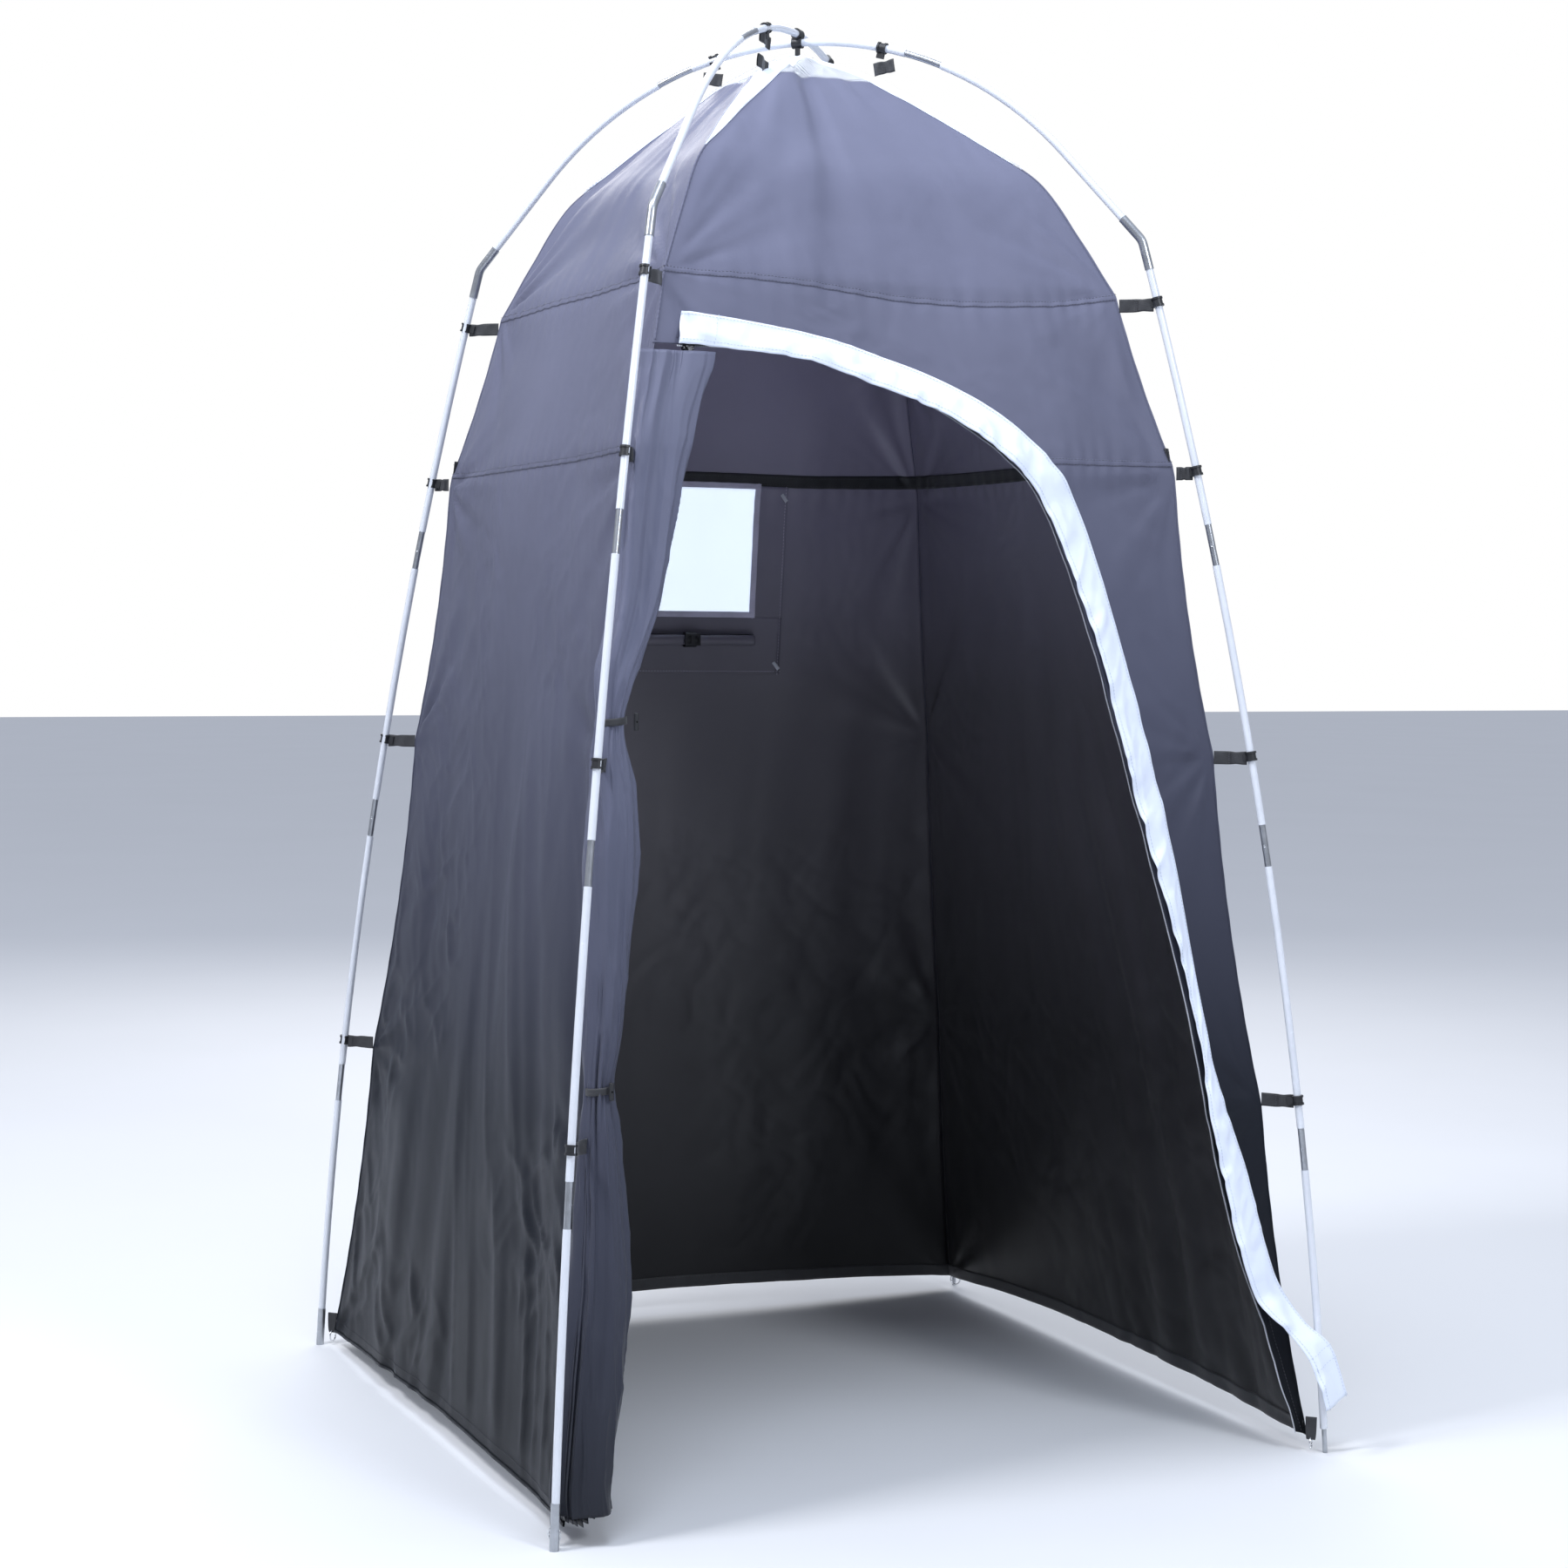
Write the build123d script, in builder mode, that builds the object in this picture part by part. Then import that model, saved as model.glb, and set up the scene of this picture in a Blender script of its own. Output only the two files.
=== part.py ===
"""Privacy shower tent: two crossing bowed poles with a fabric cabin hooked inside them.

Millimetres, +Z up. The origin is on the ground at the centre of the four pole feet, and the
door is on the -Y side. Corners are named front/back by the sign of y and left/right by the
sign of x. Frame outlines are drawn in a corner's diagonal plane (distance from the centre,
height), and fabric outlines in a side's own plane (distance outward, height).
"""

from build123d import *
from math import asin, cos, degrees, radians, sin, sqrt
import os

os.makedirs("parts", exist_ok=True)

# --- frame ---------------------------------------------------------------------------------
foot_half = 600.0  # half the distance between neighbouring pole feet
leg_lean = 3.6  # degrees from upright at the foot
leg_radius = 8800.0  # the legs bow slightly
section = 450.0  # spacing of the leg's connectors
leg_length = 1770.0  # foot to the mouth of the elbow
arm = 45.0  # each arm of the bent elbow
elbow_radius = 30.0
socket = 20.0  # how far a rod enters the elbow
roof_tilt = 48.0  # degrees from level where the roof rod leaves the elbow
apex_z = 2120.0
crossing = 13.0  # between the two centrelines where the poles cross
roof_half_middle = 210.0  # apex to the roof's connectors, along the rod
rod_od, rod_bore = 11.2, 9.9
connector_od, connector_bore = 9.8, 6.0
connector_shown, connector_hidden = 62.0, 28.0
elbow_od, elbow_bore = 13.4, 11.3
foot_sleeve_od, foot_sleeve_length = 12.8, 62.0
pin_od, pin_length = 7.0, 36.0
dimple_radius, dimple_depth = 4.0, 0.7
cord_od = 3.0

# --- cabin: half-width and height of each fold of the fabric, from the hem up --------------
hem = (580.0, 25.0)
seam_low = (424.0, 1455.0)
seam_high = (360.0, 1706.0)
roof_fold = (280.0, 1873.0)
roof_mid = (190.0, 1965.0)
crown_rim = (100.0, 2045.0)
crown_top = (8.0, 2092.0)
band_tip_half = 257.0  # half-width where the pale ridge bands start
band_half = 26.0  # half the width of a ridge band at the crown's rim
cloth = 2.0
tape = 1.0
binding = 10.0

# --- door ----------------------------------------------------------------------------------
zip_foot = (560.0, 30.0)  # x, z where the zip starts at the hem
zip_slope = 0.2644  # how far the zip leans in for each unit of height
zip_top = 1600.0
zip_radius = 420.0
flap_width = 45.0
flap_standoff = 11.0
tape_width = 14.0
coil = 4.0
slider_x = -335.0
tie_heights = (590.0, 1080.0)
flap_left, flap_low = -352.0, 75.0
pull_pin, pull_length = 0.9, 26.0
pull_eye, pull_thick, pull_half, pull_slack = 1.7, 1.6, 3.0, 0.07
slider_depth, slider_tall, slider_half, slider_slot = 9.0, 13.6, 8.0, 5.0
ear, ear_half, ear_spread, ear_pin_half = 3.4, 0.9, 4.2, 4.0
tie_radius = 13.0
tie_wall, tie_slack, tie_half = 3.0, 1.2, 4.0
stem_radius, stem_length = 1.2, 6.0
toggle_radius, toggle_half, toggle_round, toggle_bore = 3.4, 12.0, 1.2, 1.26
toggle_standoff = 7.2
bundle_rings = {45: 24, 330: 27, 570: 13, 610: 13, 800: 23, 1060: 13, 1100: 13, 1300: 24, 1545: 34}

# --- corner webbing and peg rings: spots in the diagonal plane -------------------------------
ring_offset, ring_radius, ring_wire = 9.0, 9.0, 1.25
ring_hang = (829.0, 24.0)
webbing_outline = [(823, 26), (820, 46), (834, 46), (835, 19), (823, 19)]

# --- hooks ---------------------------------------------------------------------------------
hook_heights = (520.0, 1025.0, 1445.0, 1695.0)  # on the leg
roof_hook_angle = 14.0  # round the roof arc from the apex
hook_bore, hook_rim, hook_waist = 5.7, 8.6, 7.4
hook_height, hook_lip = 14.0, 3.0
hook_tongue = 16.0
strap_width, strap_thick = 20.0, 1.5
tongue_thick, tongue_half = 4.0, 6.0
hub_half, hub_bore_half = 8.0, 12.0  # half the length of each of the hub's clips, and of its bores
hub_pin = 4.0  # radius of the pin from the hub down to the crown

# --- window in the back wall ----------------------------------------------------------------
pane_w, pane_h, pane_z = 235.0, 215.0, 1333.0
patch_half, patch_low = 172.0, 1135.0
tab_x, tab_heights = 160.0, (1148.0, 1435.0)
roll_radius, roll_z = 11.0, 1192.0
tab_w, tab_h = 14.0, 10.0
buckle_loop, buckle_slack, buckle_half = 1.8, 0.3, 10.0
buckle_w, buckle_h, buckle_thick = 28.0, 20.0, 3.5
buckle_slot_w, buckle_slot_h = 7.0, 13.0

corners = {"front_left": (-1, -1), "front_right": (1, -1), "back_right": (1, 1), "back_left": (-1, 1)}
sides = {"front": (0, -1), "right": (1, 0), "back": (0, 1), "left": (-1, 0)}
profile = [hem, seam_low, seam_high, roof_fold, roof_mid, crown_rim]
far = 900.0  # beyond the cabin on every side, for sketches that cut or are cut back


def save(piece, name):
    """Labels a finished piece and writes its STEP."""
    piece.part.label = name
    export_step(piece.part, f"parts/{name}.step")


def upright(outward):
    """The vertical plane through the centre: x runs outward along the ground, y runs up."""
    x, y = outward
    return Plane(origin=(0, 0, 0), x_dir=(x, y, 0), z_dir=(y, -x, 0))


def cabin_half(z):
    """Half-width of the fabric at a height."""
    for (low_half, low_z), (high_half, high_z) in zip(profile, profile[1:]):
        if z <= high_z:
            break
    return low_half + (z - low_z) * (high_half - low_half) / (high_z - low_z)


# --- the centreline of a pole, in its diagonal plane ----------------------------------------
leg_centre = (
    foot_half * sqrt(2) - leg_radius * cos(radians(leg_lean)),
    -leg_radius * sin(radians(leg_lean)),
)


def leg_angle(length):
    """Lean of the leg, in degrees, at a length from the foot."""
    return leg_lean + degrees(length / leg_radius)


def leg_point(length):
    angle = radians(leg_angle(length))
    return leg_centre[0] + leg_radius * cos(angle), leg_centre[1] + leg_radius * sin(angle)


def leg_length_at(z):
    return radians(degrees(asin((z - leg_centre[1]) / leg_radius)) - leg_lean) * leg_radius


def leg_arc(start, end):
    return CenterArc(leg_centre, leg_radius, leg_angle(start), degrees((end - start) / leg_radius))


leg_top = leg_point(leg_length)
top_lean = radians(leg_angle(leg_length))
elbow = (leg_top[0] - arm * sin(top_lean), leg_top[1] + arm * cos(top_lean))
rise, run = sin(radians(roof_tilt)), cos(radians(roof_tilt))


def roof_shape(apex):
    """The roof rod's radius, and the straight stretch between its arc and the elbow's corner."""
    radius = (elbow[0] - run * (apex - elbow[1]) / rise) / (rise - run * (1 - run) / rise)
    return radius, (apex - elbow[1] - radius * (1 - run)) / rise


def roof_arc(apex, start, end):
    """Part of the roof's arc, by the angle from the apex, outward positive."""
    radius, _ = roof_shape(apex)
    return CenterArc((0, apex - radius), radius, 90 - start, start - end)


def roof_spot(distance):
    """A point of the roof rod's straight stretch, by the distance from the elbow's corner."""
    return elbow[0] - distance * run, elbow[1] + distance * rise


poles = {
    "a": (apex_z + crossing / 2, "front_left", "back_right"),
    "b": (apex_z - crossing / 2, "front_right", "back_left"),
}


def tube(path, outer, inner=0, mode=Mode.ADD):
    """Sweeps a ring, or a disc where inner is 0, along a path into the current part."""
    route = Wire(path.edges())
    with BuildSketch(Plane(origin=route @ 0, z_dir=route % 0)) as ring:
        Circle(outer / 2)
        if inner:
            Circle(inner / 2, mode=Mode.SUBTRACT)
    sweep(ring.sketch, path=route, mode=mode)


def dimples(plane, spots, od):
    """Presses one small dent into the outer face of a tube at each spot of its plane."""
    for side in (-1, 1):
        dents = plane.offset(side * (od / 2 + dimple_radius - dimple_depth))
        with Locations([dents.from_local_coords(spot) for spot in spots]):
            Sphere(dimple_radius, mode=Mode.SUBTRACT)


# --- legs: four rods joined by three bare metal connectors -----------------------------------
connector_at = [section, 2 * section, 3 * section]
gap = connector_shown / 2
grip = connector_hidden
for corner, way in corners.items():
    diagonal = upright(way)
    foot_end = foot_sleeve_length / 2 if way[0] < 0 else pin_length
    starts = [foot_end] + [middle + gap for middle in connector_at]
    ends = [middle - gap for middle in connector_at] + [leg_length + socket]
    with BuildPart() as rods:
        for start, end in zip(starts, ends):
            with BuildLine(diagonal) as line:
                leg_arc(start, end)
            tube(line.line, rod_od, rod_bore)
    save(rods, f"leg_rods_{corner}")

    with BuildPart() as connectors:
        for middle in connector_at:
            with BuildLine(diagonal) as line:
                leg_arc(middle - gap - grip, middle + gap + grip)
            tube(line.line, connector_od, connector_bore)
        dimples(diagonal, [leg_point(middle) for middle in connector_at], connector_od)
    save(connectors, f"leg_connectors_{corner}")

# Short bent tubes whose two arms take the ends of a leg and a roof rod.
with BuildPart() as elbows:
    for way in corners.values():
        with BuildLine(upright(way)) as line:
            FilletPolyline(leg_top, elbow, roof_spot(arm), radius=elbow_radius)
        tube(line.line, elbow_od, elbow_bore)
save(elbows, "elbows")

# Feet: the left legs end in a sleeve and the right legs in a bare pin.
with BuildPart() as foot_sleeves:
    for corner in ("front_left", "back_left"):
        diagonal = upright(corners[corner])
        with BuildLine(diagonal) as line:
            leg_arc(-2, foot_sleeve_length)
        tube(line.line, foot_sleeve_od)
        with BuildLine(diagonal) as line:
            leg_arc(foot_sleeve_length / 2, foot_sleeve_length + 1)
        tube(line.line, elbow_bore, mode=Mode.SUBTRACT)
        dimples(diagonal, [leg_point(foot_sleeve_length * 0.42)], foot_sleeve_od)
    split(bisect_by=Plane.XY)
save(foot_sleeves, "foot_sleeves")

with BuildPart() as foot_pins:
    for corner in ("front_right", "back_right"):
        diagonal = upright(corners[corner])
        with BuildLine(diagonal) as line:
            leg_arc(-2, pin_length)
        tube(line.line, pin_od)
        with BuildLine(diagonal) as line:
            leg_arc(pin_length, pin_length + grip)
        tube(line.line, connector_od)
    split(bisect_by=Plane.XY)
save(foot_pins, "foot_pins")

# --- roof rods: three sections a pole, over the top from elbow to elbow ----------------------
for pole, (apex, near, opposite) in poles.items():
    radius, straight = roof_shape(apex)
    middle = degrees(roof_half_middle / radius)
    inset = degrees(gap / radius)
    hidden = degrees(grip / radius)
    with BuildPart() as rods:
        with BuildLine(upright(corners[near])) as line:
            roof_arc(apex, -middle + inset, middle - inset)
        tube(line.line, rod_od, rod_bore)
        for end in (near, opposite):
            with BuildLine(upright(corners[end])) as line:
                roof_arc(apex, middle + inset, roof_tilt)
                Line(roof_spot(straight), roof_spot(arm - socket))
            tube(line.line, rod_od, rod_bore)
    save(rods, f"roof_rods_{pole}")

    with BuildPart() as connectors:
        for end in (near, opposite):
            with BuildLine(upright(corners[end])) as line:
                roof_arc(apex, middle - inset - hidden, middle + inset + hidden)
            tube(line.line, connector_od, connector_bore)
    save(connectors, f"roof_connectors_{pole}")

    # Elastic cord that keeps one pole's sections together, inside the tubes from foot to foot.
    with BuildPart() as cord:
        for end in (near, opposite):
            low = foot_sleeve_length if corners[end][0] < 0 else pin_length + grip
            with BuildLine(upright(corners[end])) as line:
                leg_arc(low, leg_length)
                FilletPolyline(leg_top, elbow, roof_spot(straight), radius=elbow_radius)
                roof_arc(apex, roof_tilt, 0)
            tube(line.line, cord_od)
    save(cord, f"shock_cord_{pole}")

# Two back-to-back clips with a short web, holding the poles where they cross.
hub_low = apex_z - crossing / 2 - hook_rim
with BuildPart() as hub:
    for pole, (apex, near, _) in poles.items():
        plane = upright(corners[near])
        with BuildSketch(Plane(origin=(0, 0, apex), z_dir=plane.x_dir)):
            Circle(hook_rim)
            Circle(hook_bore, mode=Mode.SUBTRACT)
        extrude(amount=hub_half, both=True)
    for pole, (apex, near, _) in poles.items():
        with BuildSketch(Plane(origin=(0, 0, apex), z_dir=upright(corners[near]).x_dir)):
            Circle(hook_bore)
        extrude(amount=hub_bore_half, both=True, mode=Mode.SUBTRACT)
    with BuildSketch(Plane.XY.offset(hub_low + 1)):
        Circle(hub_pin)
    extrude(amount=hub_low + 1 - crown_top[1] - strap_thick, dir=(0, 0, -1))
save(hub, "apex_hook")


# --- hooks on the poles, and the webbing from each to the fabric's corner ---------------------
def hook(place):
    """A snap hook round the pole: two rims, a waist, a side mouth and a tongue for the webbing."""
    with BuildSketch(place) as waist:
        Circle(hook_waist)
    extrude(waist.sketch, amount=hook_height / 2, both=True)
    for low in (-hook_height / 2, hook_height / 2 - hook_lip):
        with BuildSketch(place.offset(low)) as rim:
            Circle(hook_rim)
        extrude(rim.sketch, amount=hook_lip)
    with BuildSketch(place) as tongue:
        with Locations((-hook_tongue / 2, 0)):
            Rectangle(hook_tongue, tongue_thick)
    extrude(tongue.sketch, amount=tongue_half, both=True)
    with BuildSketch(place) as bore:
        Circle(hook_bore)
        with Locations((0, hook_rim)):
            Rectangle(hook_bore * 1.3, 2 * hook_rim)
    extrude(bore.sketch, amount=hook_height, both=True, mode=Mode.SUBTRACT)


def hook_place(diagonal, spot, angle):
    """The plane across the pole at a spot: x points away from the fabric, angle from level."""
    outward = diagonal.x_dir * cos(radians(angle)) + Vector(0, 0, sin(radians(angle)))
    along = diagonal.x_dir * -sin(radians(angle)) + Vector(0, 0, cos(radians(angle)))
    return Plane(origin=diagonal.from_local_coords(spot), x_dir=outward, z_dir=along)


def tongue_end(spot, angle):
    return spot[0] - hook_tongue * cos(radians(angle)), spot[1] - hook_tongue * sin(radians(angle))


strap_runs = []
for pole, (apex, near, opposite) in poles.items():
    radius, _ = roof_shape(apex)
    for corner in (near, opposite):
        diagonal = upright(corners[corner])
        angle = 90 - roof_hook_angle
        top = (radius * cos(radians(angle)), apex - radius * (1 - sin(radians(angle))))
        spots = [(leg_point(leg_length_at(z)), leg_angle(leg_length_at(z))) for z in hook_heights]
        with BuildPart() as hooks:
            for spot, lean in spots + [(top, angle)]:
                hook(hook_place(diagonal, spot, lean))
        save(hooks, f"pole_hooks_{corner}")
        for spot, lean in spots:
            end = tongue_end(spot, lean)
            strap_runs.append((diagonal, end, (cabin_half(end[1]) * sqrt(2) + 2.5, end[1])))
        end = tongue_end(top, angle)
        strap_runs.append((diagonal, end, (crown_rim[0] * sqrt(2) - 2, crown_rim[1] + 6)))

with BuildPart() as straps:
    for diagonal, start, end in strap_runs:
        start, end = diagonal.from_local_coords(start), diagonal.from_local_coords(end)
        run_plane = Plane(origin=(start + end) / 2, x_dir=end - start, z_dir=diagonal.z_dir)
        with BuildSketch(run_plane) as strip:
            Rectangle((end - start).length - 5, strap_width)
        extrude(strip.sketch, amount=strap_thick / 2, both=True)
save(straps, "hook_straps")

# --- corner webbing with a peg ring at each foot ------------------------------------------------
with BuildPart() as webbing:
    for way in corners.values():
        with BuildSketch(upright(way).offset(ring_offset)) as strip:
            Polygon(*webbing_outline, align=None)
            with Locations(ring_hang):
                Circle(ring_wire * 1.8, mode=Mode.SUBTRACT)
        extrude(strip.sketch, amount=strap_thick / 2, both=True)
save(webbing, "corner_webbing")

for corner, way in corners.items():
    diagonal = upright(way).offset(ring_offset)
    centre = diagonal.from_local_coords((ring_hang[0], ring_hang[1] - ring_radius))
    with BuildPart() as ring:
        with BuildSketch(Plane(origin=centre, x_dir=diagonal.z_dir, z_dir=(0, 0, 1))) as wire:
            with Locations((ring_radius, 0)):
                Circle(ring_wire)
        revolve(wire.sketch, axis=Axis(centre, diagonal.x_dir))
    save(ring, f"peg_ring_{corner}")


# --- fabric -----------------------------------------------------------------------------------
def shell_outline(folds, thickness, standoff=0.0):
    """Cross-section of a sheet that follows the folds, its outer face standoff outside them."""
    outer = [(half + standoff, z) for half, z in folds]
    inner = [(half + standoff - thickness, z) for half, z in reversed(folds)]
    Polygon(*outer, *inner, align=None)


def side_sheet(side, folds, thickness=cloth, standoff=0.0):
    """One side's sheet, running past both corners."""
    with BuildSketch(upright(sides[side])) as outline:
        shell_outline(folds, thickness, standoff)
    extrude(outline.sketch, amount=far, both=True)


def mitre(side):
    """Cuts the current part back to one side's quarter of the plan."""
    x, y = sides[side]
    ends = [(far * (x - s * y), far * (y + s * x)) for s in (1, -1)]
    with BuildSketch(Plane.XY) as plan:
        Polygon((0, 0), *ends, align=None)
    extrude(plan.sketch, amount=crown_top[1] + 100, mode=Mode.INTERSECT)


def square_shell(folds, thickness, standoff=0.0):
    """A sheet on all four sides between the first and last fold."""
    for shift, mode in ((standoff, Mode.ADD), (standoff - thickness, Mode.SUBTRACT)):
        sections = []
        for half, z in folds:
            with BuildSketch(Plane.XY.offset(z)) as square:
                Rectangle(2 * (half + shift), 2 * (half + shift))
            sections.append(square.sketch)
        loft(sections, ruled=True, mode=mode)


def band_between(low_z, high_z):
    return [(cabin_half(low_z), low_z), (cabin_half(high_z), high_z)]


# The zip's line on the front: up from the hem, round one large arc, and level to the left corner.
def door_shape(shift, left=-far, low=-100.0):
    """The opening's side of the zip line, with that line moved outward by shift."""
    sideways = shift * sqrt(1 + zip_slope**2)
    top = zip_top + shift
    foot_x = zip_foot[0] + zip_slope * (zip_foot[1] - low) + sideways
    corner_x = foot_x - zip_slope * (top - low)
    with BuildLine() as edge:
        FilletPolyline((foot_x, low), (corner_x, top), (left, top), radius=zip_radius + shift)
        Polyline((left, top), (left, low), (foot_x, low))
    make_face(edge.edges())


def cut_door(shift=0.0, mode=Mode.SUBTRACT):
    """Cuts the front along the shifted zip line, or keeps only the opening's side of it."""
    with BuildSketch(Plane.XZ) as opening:
        door_shape(shift)
    extrude(opening.sketch, amount=far, mode=mode)


def door_band(outer_shift, inner_shift, left, low):
    """Keeps only the strip of the front between two shifts of the zip line."""
    with BuildSketch(Plane.XZ) as band:
        door_shape(outer_shift)
        with BuildSketch(mode=Mode.SUBTRACT):
            door_shape(inner_shift)
        with Locations((left + far, low + far)):
            Rectangle(2 * far, 2 * far, mode=Mode.INTERSECT)
    extrude(band.sketch, amount=far, mode=Mode.INTERSECT)


for side in ("left", "right", "back", "front"):
    for level, folds in {"lower": [hem, seam_low], "upper": [seam_low, seam_high]}.items():
        with BuildPart() as wall:
            side_sheet(side, folds)
            mitre(side)
            if side == "front":
                cut_door()
            if side == "back" and level == "lower":
                with BuildSketch(Plane.XZ) as hole:
                    with Locations((0, pane_z)):
                        Rectangle(pane_w, pane_h)
                extrude(hole.sketch, amount=-far, mode=Mode.SUBTRACT)
        save(wall, f"{side}_wall_{level}")


def ridge_band_plan():
    """Plan of the four pale bands that run up the ridges to the top."""
    tip, rim, top = band_tip_half, crown_rim[0], crown_top[0]
    for x, y in corners.values():
        spots = [(tip, tip), (rim - band_half, rim), (top, top + band_half * 0.7), (0, 0)]
        spots += [(top + band_half * 0.7, top), (rim, rim - band_half)]
        Polygon(*[(x * a, y * b) for a, b in spots], align=None)


for side in sides:
    with BuildPart() as roof:
        side_sheet(side, [seam_high, roof_fold, roof_mid, crown_rim])
        mitre(side)
        with BuildSketch(Plane.XY) as bands:
            ridge_band_plan()
        extrude(bands.sketch, amount=crown_top[1] + 100, mode=Mode.SUBTRACT)
    save(roof, f"{side}_roof")

with BuildPart() as ridge_bands:
    square_shell([roof_fold, roof_mid, crown_rim], cloth)
    square_shell([crown_rim, crown_top], cloth * 2)
    with BuildSketch(Plane.XY) as bands:
        ridge_band_plan()
    extrude(bands.sketch, amount=crown_top[1] + 100, mode=Mode.INTERSECT)
save(ridge_bands, "ridge_bands")

with BuildPart() as crown:
    square_shell([crown_rim, crown_top], cloth * 2)
    with BuildSketch(Plane.XY) as bands:
        ridge_band_plan()
    extrude(bands.sketch, amount=crown_top[1] + 100, mode=Mode.SUBTRACT)
save(crown, "crown_mesh")

# Tapes on the inside face: round the hem, and along the lower and upper seams.
with BuildPart() as hem_tape:
    square_shell(band_between(hem[1], hem[1] + 20), tape, -cloth)
    cut_door(tape_width + 1)
save(hem_tape, "hem_tape")

with BuildPart() as seam_tapes:
    square_shell(band_between(seam_low[1] + 2, seam_low[1] + 24), tape, -cloth)
    square_shell(band_between(seam_high[1] - 16, seam_high[1] - 1), tape, -cloth)
    cut_door(tape_width + 1)
save(seam_tapes, "seam_tapes")

# --- door: storm flap, zip and the gathered panel ------------------------------------------------
with BuildPart() as flap:
    side_sheet("front", [hem, seam_low, seam_high], cloth, flap_standoff)
    door_band(flap_width, 0, flap_left, flap_low)
save(flap, "storm_flap")

with BuildPart() as zip_tape:
    side_sheet("front", [hem, seam_low, seam_high], tape, -cloth)
    mitre("front")
    door_band(tape_width, 0, flap_left, hem[1])
save(zip_tape, "zip_tape")

with BuildPart() as zip_coil:
    side_sheet("front", [hem, seam_low, seam_high], cloth + tape)
    door_band(0, -coil, flap_left, hem[1])
save(zip_coil, "zip_coil")

# The slider straddles the coil on the level run; its plane is square to the sloping wall there.
wall_run, wall_rise = seam_low[0] - seam_high[0], seam_high[1] - seam_low[1]
wall_length = sqrt(wall_run**2 + wall_rise**2)
wall_out = Vector(0, -wall_rise / wall_length, wall_run / wall_length)
slider_plane = Plane(origin=(slider_x, -cabin_half(zip_top), zip_top), x_dir=wall_out, z_dir=(-1, 0, 0))
pull_pivot = (5.2, -5.0)
with BuildPart() as slider:
    with BuildSketch(slider_plane) as body:
        with Locations((-1.5, -1.2)):
            Rectangle(slider_depth, slider_tall)
        with Locations((-1.5, 1.3)):
            Rectangle(slider_slot, slider_tall, mode=Mode.SUBTRACT)
    extrude(body.sketch, amount=slider_half, both=True)
    for side in (-1, 1):
        with BuildSketch(slider_plane.offset(side * ear_spread)) as lug:
            with Locations((4.7, pull_pivot[1])):
                Rectangle(ear, ear)
        extrude(lug.sketch, amount=ear_half, both=True)
    with BuildSketch(slider_plane) as pin:
        with Locations(pull_pivot):
            Circle(pull_pin)
    extrude(pin.sketch, amount=ear_pin_half, both=True)
save(slider, "zip_slider")

with BuildPart() as pull:
    with BuildSketch(slider_plane) as tab:
        with Locations(pull_pivot):
            Circle(pull_eye)
        with Locations((pull_pivot[0] + 0.4, pull_pivot[1] - pull_length / 2)):
            Rectangle(pull_thick, pull_length)
        with Locations(pull_pivot):
            Circle(pull_pin + pull_slack, mode=Mode.SUBTRACT)
    extrude(tab.sketch, amount=pull_half, both=True)
save(pull, "zip_pull")


# The open door is gathered along the front left corner and tied in at two heights.
def bundle_centre(z, radius):
    half = cabin_half(z)
    return -half + sqrt(2) * (radius + 2) - 4, -half - 4


with BuildPart() as bundle:
    rings = []
    for z, radius in bundle_rings.items():
        with BuildSketch(Plane(origin=(*bundle_centre(z, radius), z), z_dir=(0, 0, 1))) as ring:
            Circle(radius)
        rings.append(ring.sketch)
    loft(rings, ruled=True)
save(bundle, "door_bundle")

with BuildPart() as ties:
    for z in tie_heights:
        centre = (*bundle_centre(z, tie_radius), z)
        with BuildSketch(Plane(origin=centre, z_dir=(0, 0, 1))) as loop:
            Circle(tie_radius + tie_wall)
            Circle(tie_radius + tie_slack, mode=Mode.SUBTRACT)
        extrude(loop.sketch, amount=tie_half, both=True)
        with BuildSketch(Plane(origin=centre, z_dir=(0, -1, 0)).offset(tie_radius + 2)) as stem:
            Circle(stem_radius)
        extrude(stem.sketch, amount=stem_length)
save(ties, "door_ties")

for name, z in zip(("toggle_lower", "toggle_upper"), tie_heights):
    x, y = bundle_centre(z, tie_radius)
    with BuildPart() as toggle:
        with BuildSketch(Plane(origin=(x, y - tie_radius - toggle_standoff, z), z_dir=(0, 0, 1))) as barrel:
            Circle(toggle_radius)
        extrude(barrel.sketch, amount=toggle_half, both=True)
        fillet(toggle.edges().filter_by(GeomType.CIRCLE), toggle_round)
        with BuildSketch(Plane(origin=(x, y, z), z_dir=(0, -1, 0))) as bore:
            Circle(toggle_bore)
        extrude(bore.sketch, amount=far, mode=Mode.SUBTRACT)
    save(toggle, name)


# --- window in the back wall ----------------------------------------------------------------------
def back_pane(width, height, middle, mode=Mode.INTERSECT):
    """Cuts the back's sheet to, or by, an upright rectangle."""
    with BuildSketch(Plane.XZ) as shape:
        with Locations((0, middle)):
            Rectangle(width, height)
    extrude(shape.sketch, amount=-far, mode=mode)


with BuildPart() as pane:
    side_sheet("back", [hem, seam_low])
    back_pane(pane_w, pane_h, pane_z)
save(pane, "window_pane")

with BuildPart() as frame:
    side_sheet("back", [hem, seam_low], tape, -cloth)
    back_pane(pane_w + 2 * binding, pane_h + 2 * binding, pane_z)
    back_pane(pane_w - binding, pane_h - binding, pane_z, Mode.SUBTRACT)
save(frame, "window_binding")

with BuildPart() as patch:
    side_sheet("back", [hem, seam_low], tape, -cloth)
    back_pane(2 * patch_half, seam_low[1] - patch_low, (seam_low[1] + patch_low) / 2)
    back_pane(pane_w + 2 * binding, pane_h + 2 * binding, pane_z, Mode.SUBTRACT)
save(patch, "window_surround")

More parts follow.
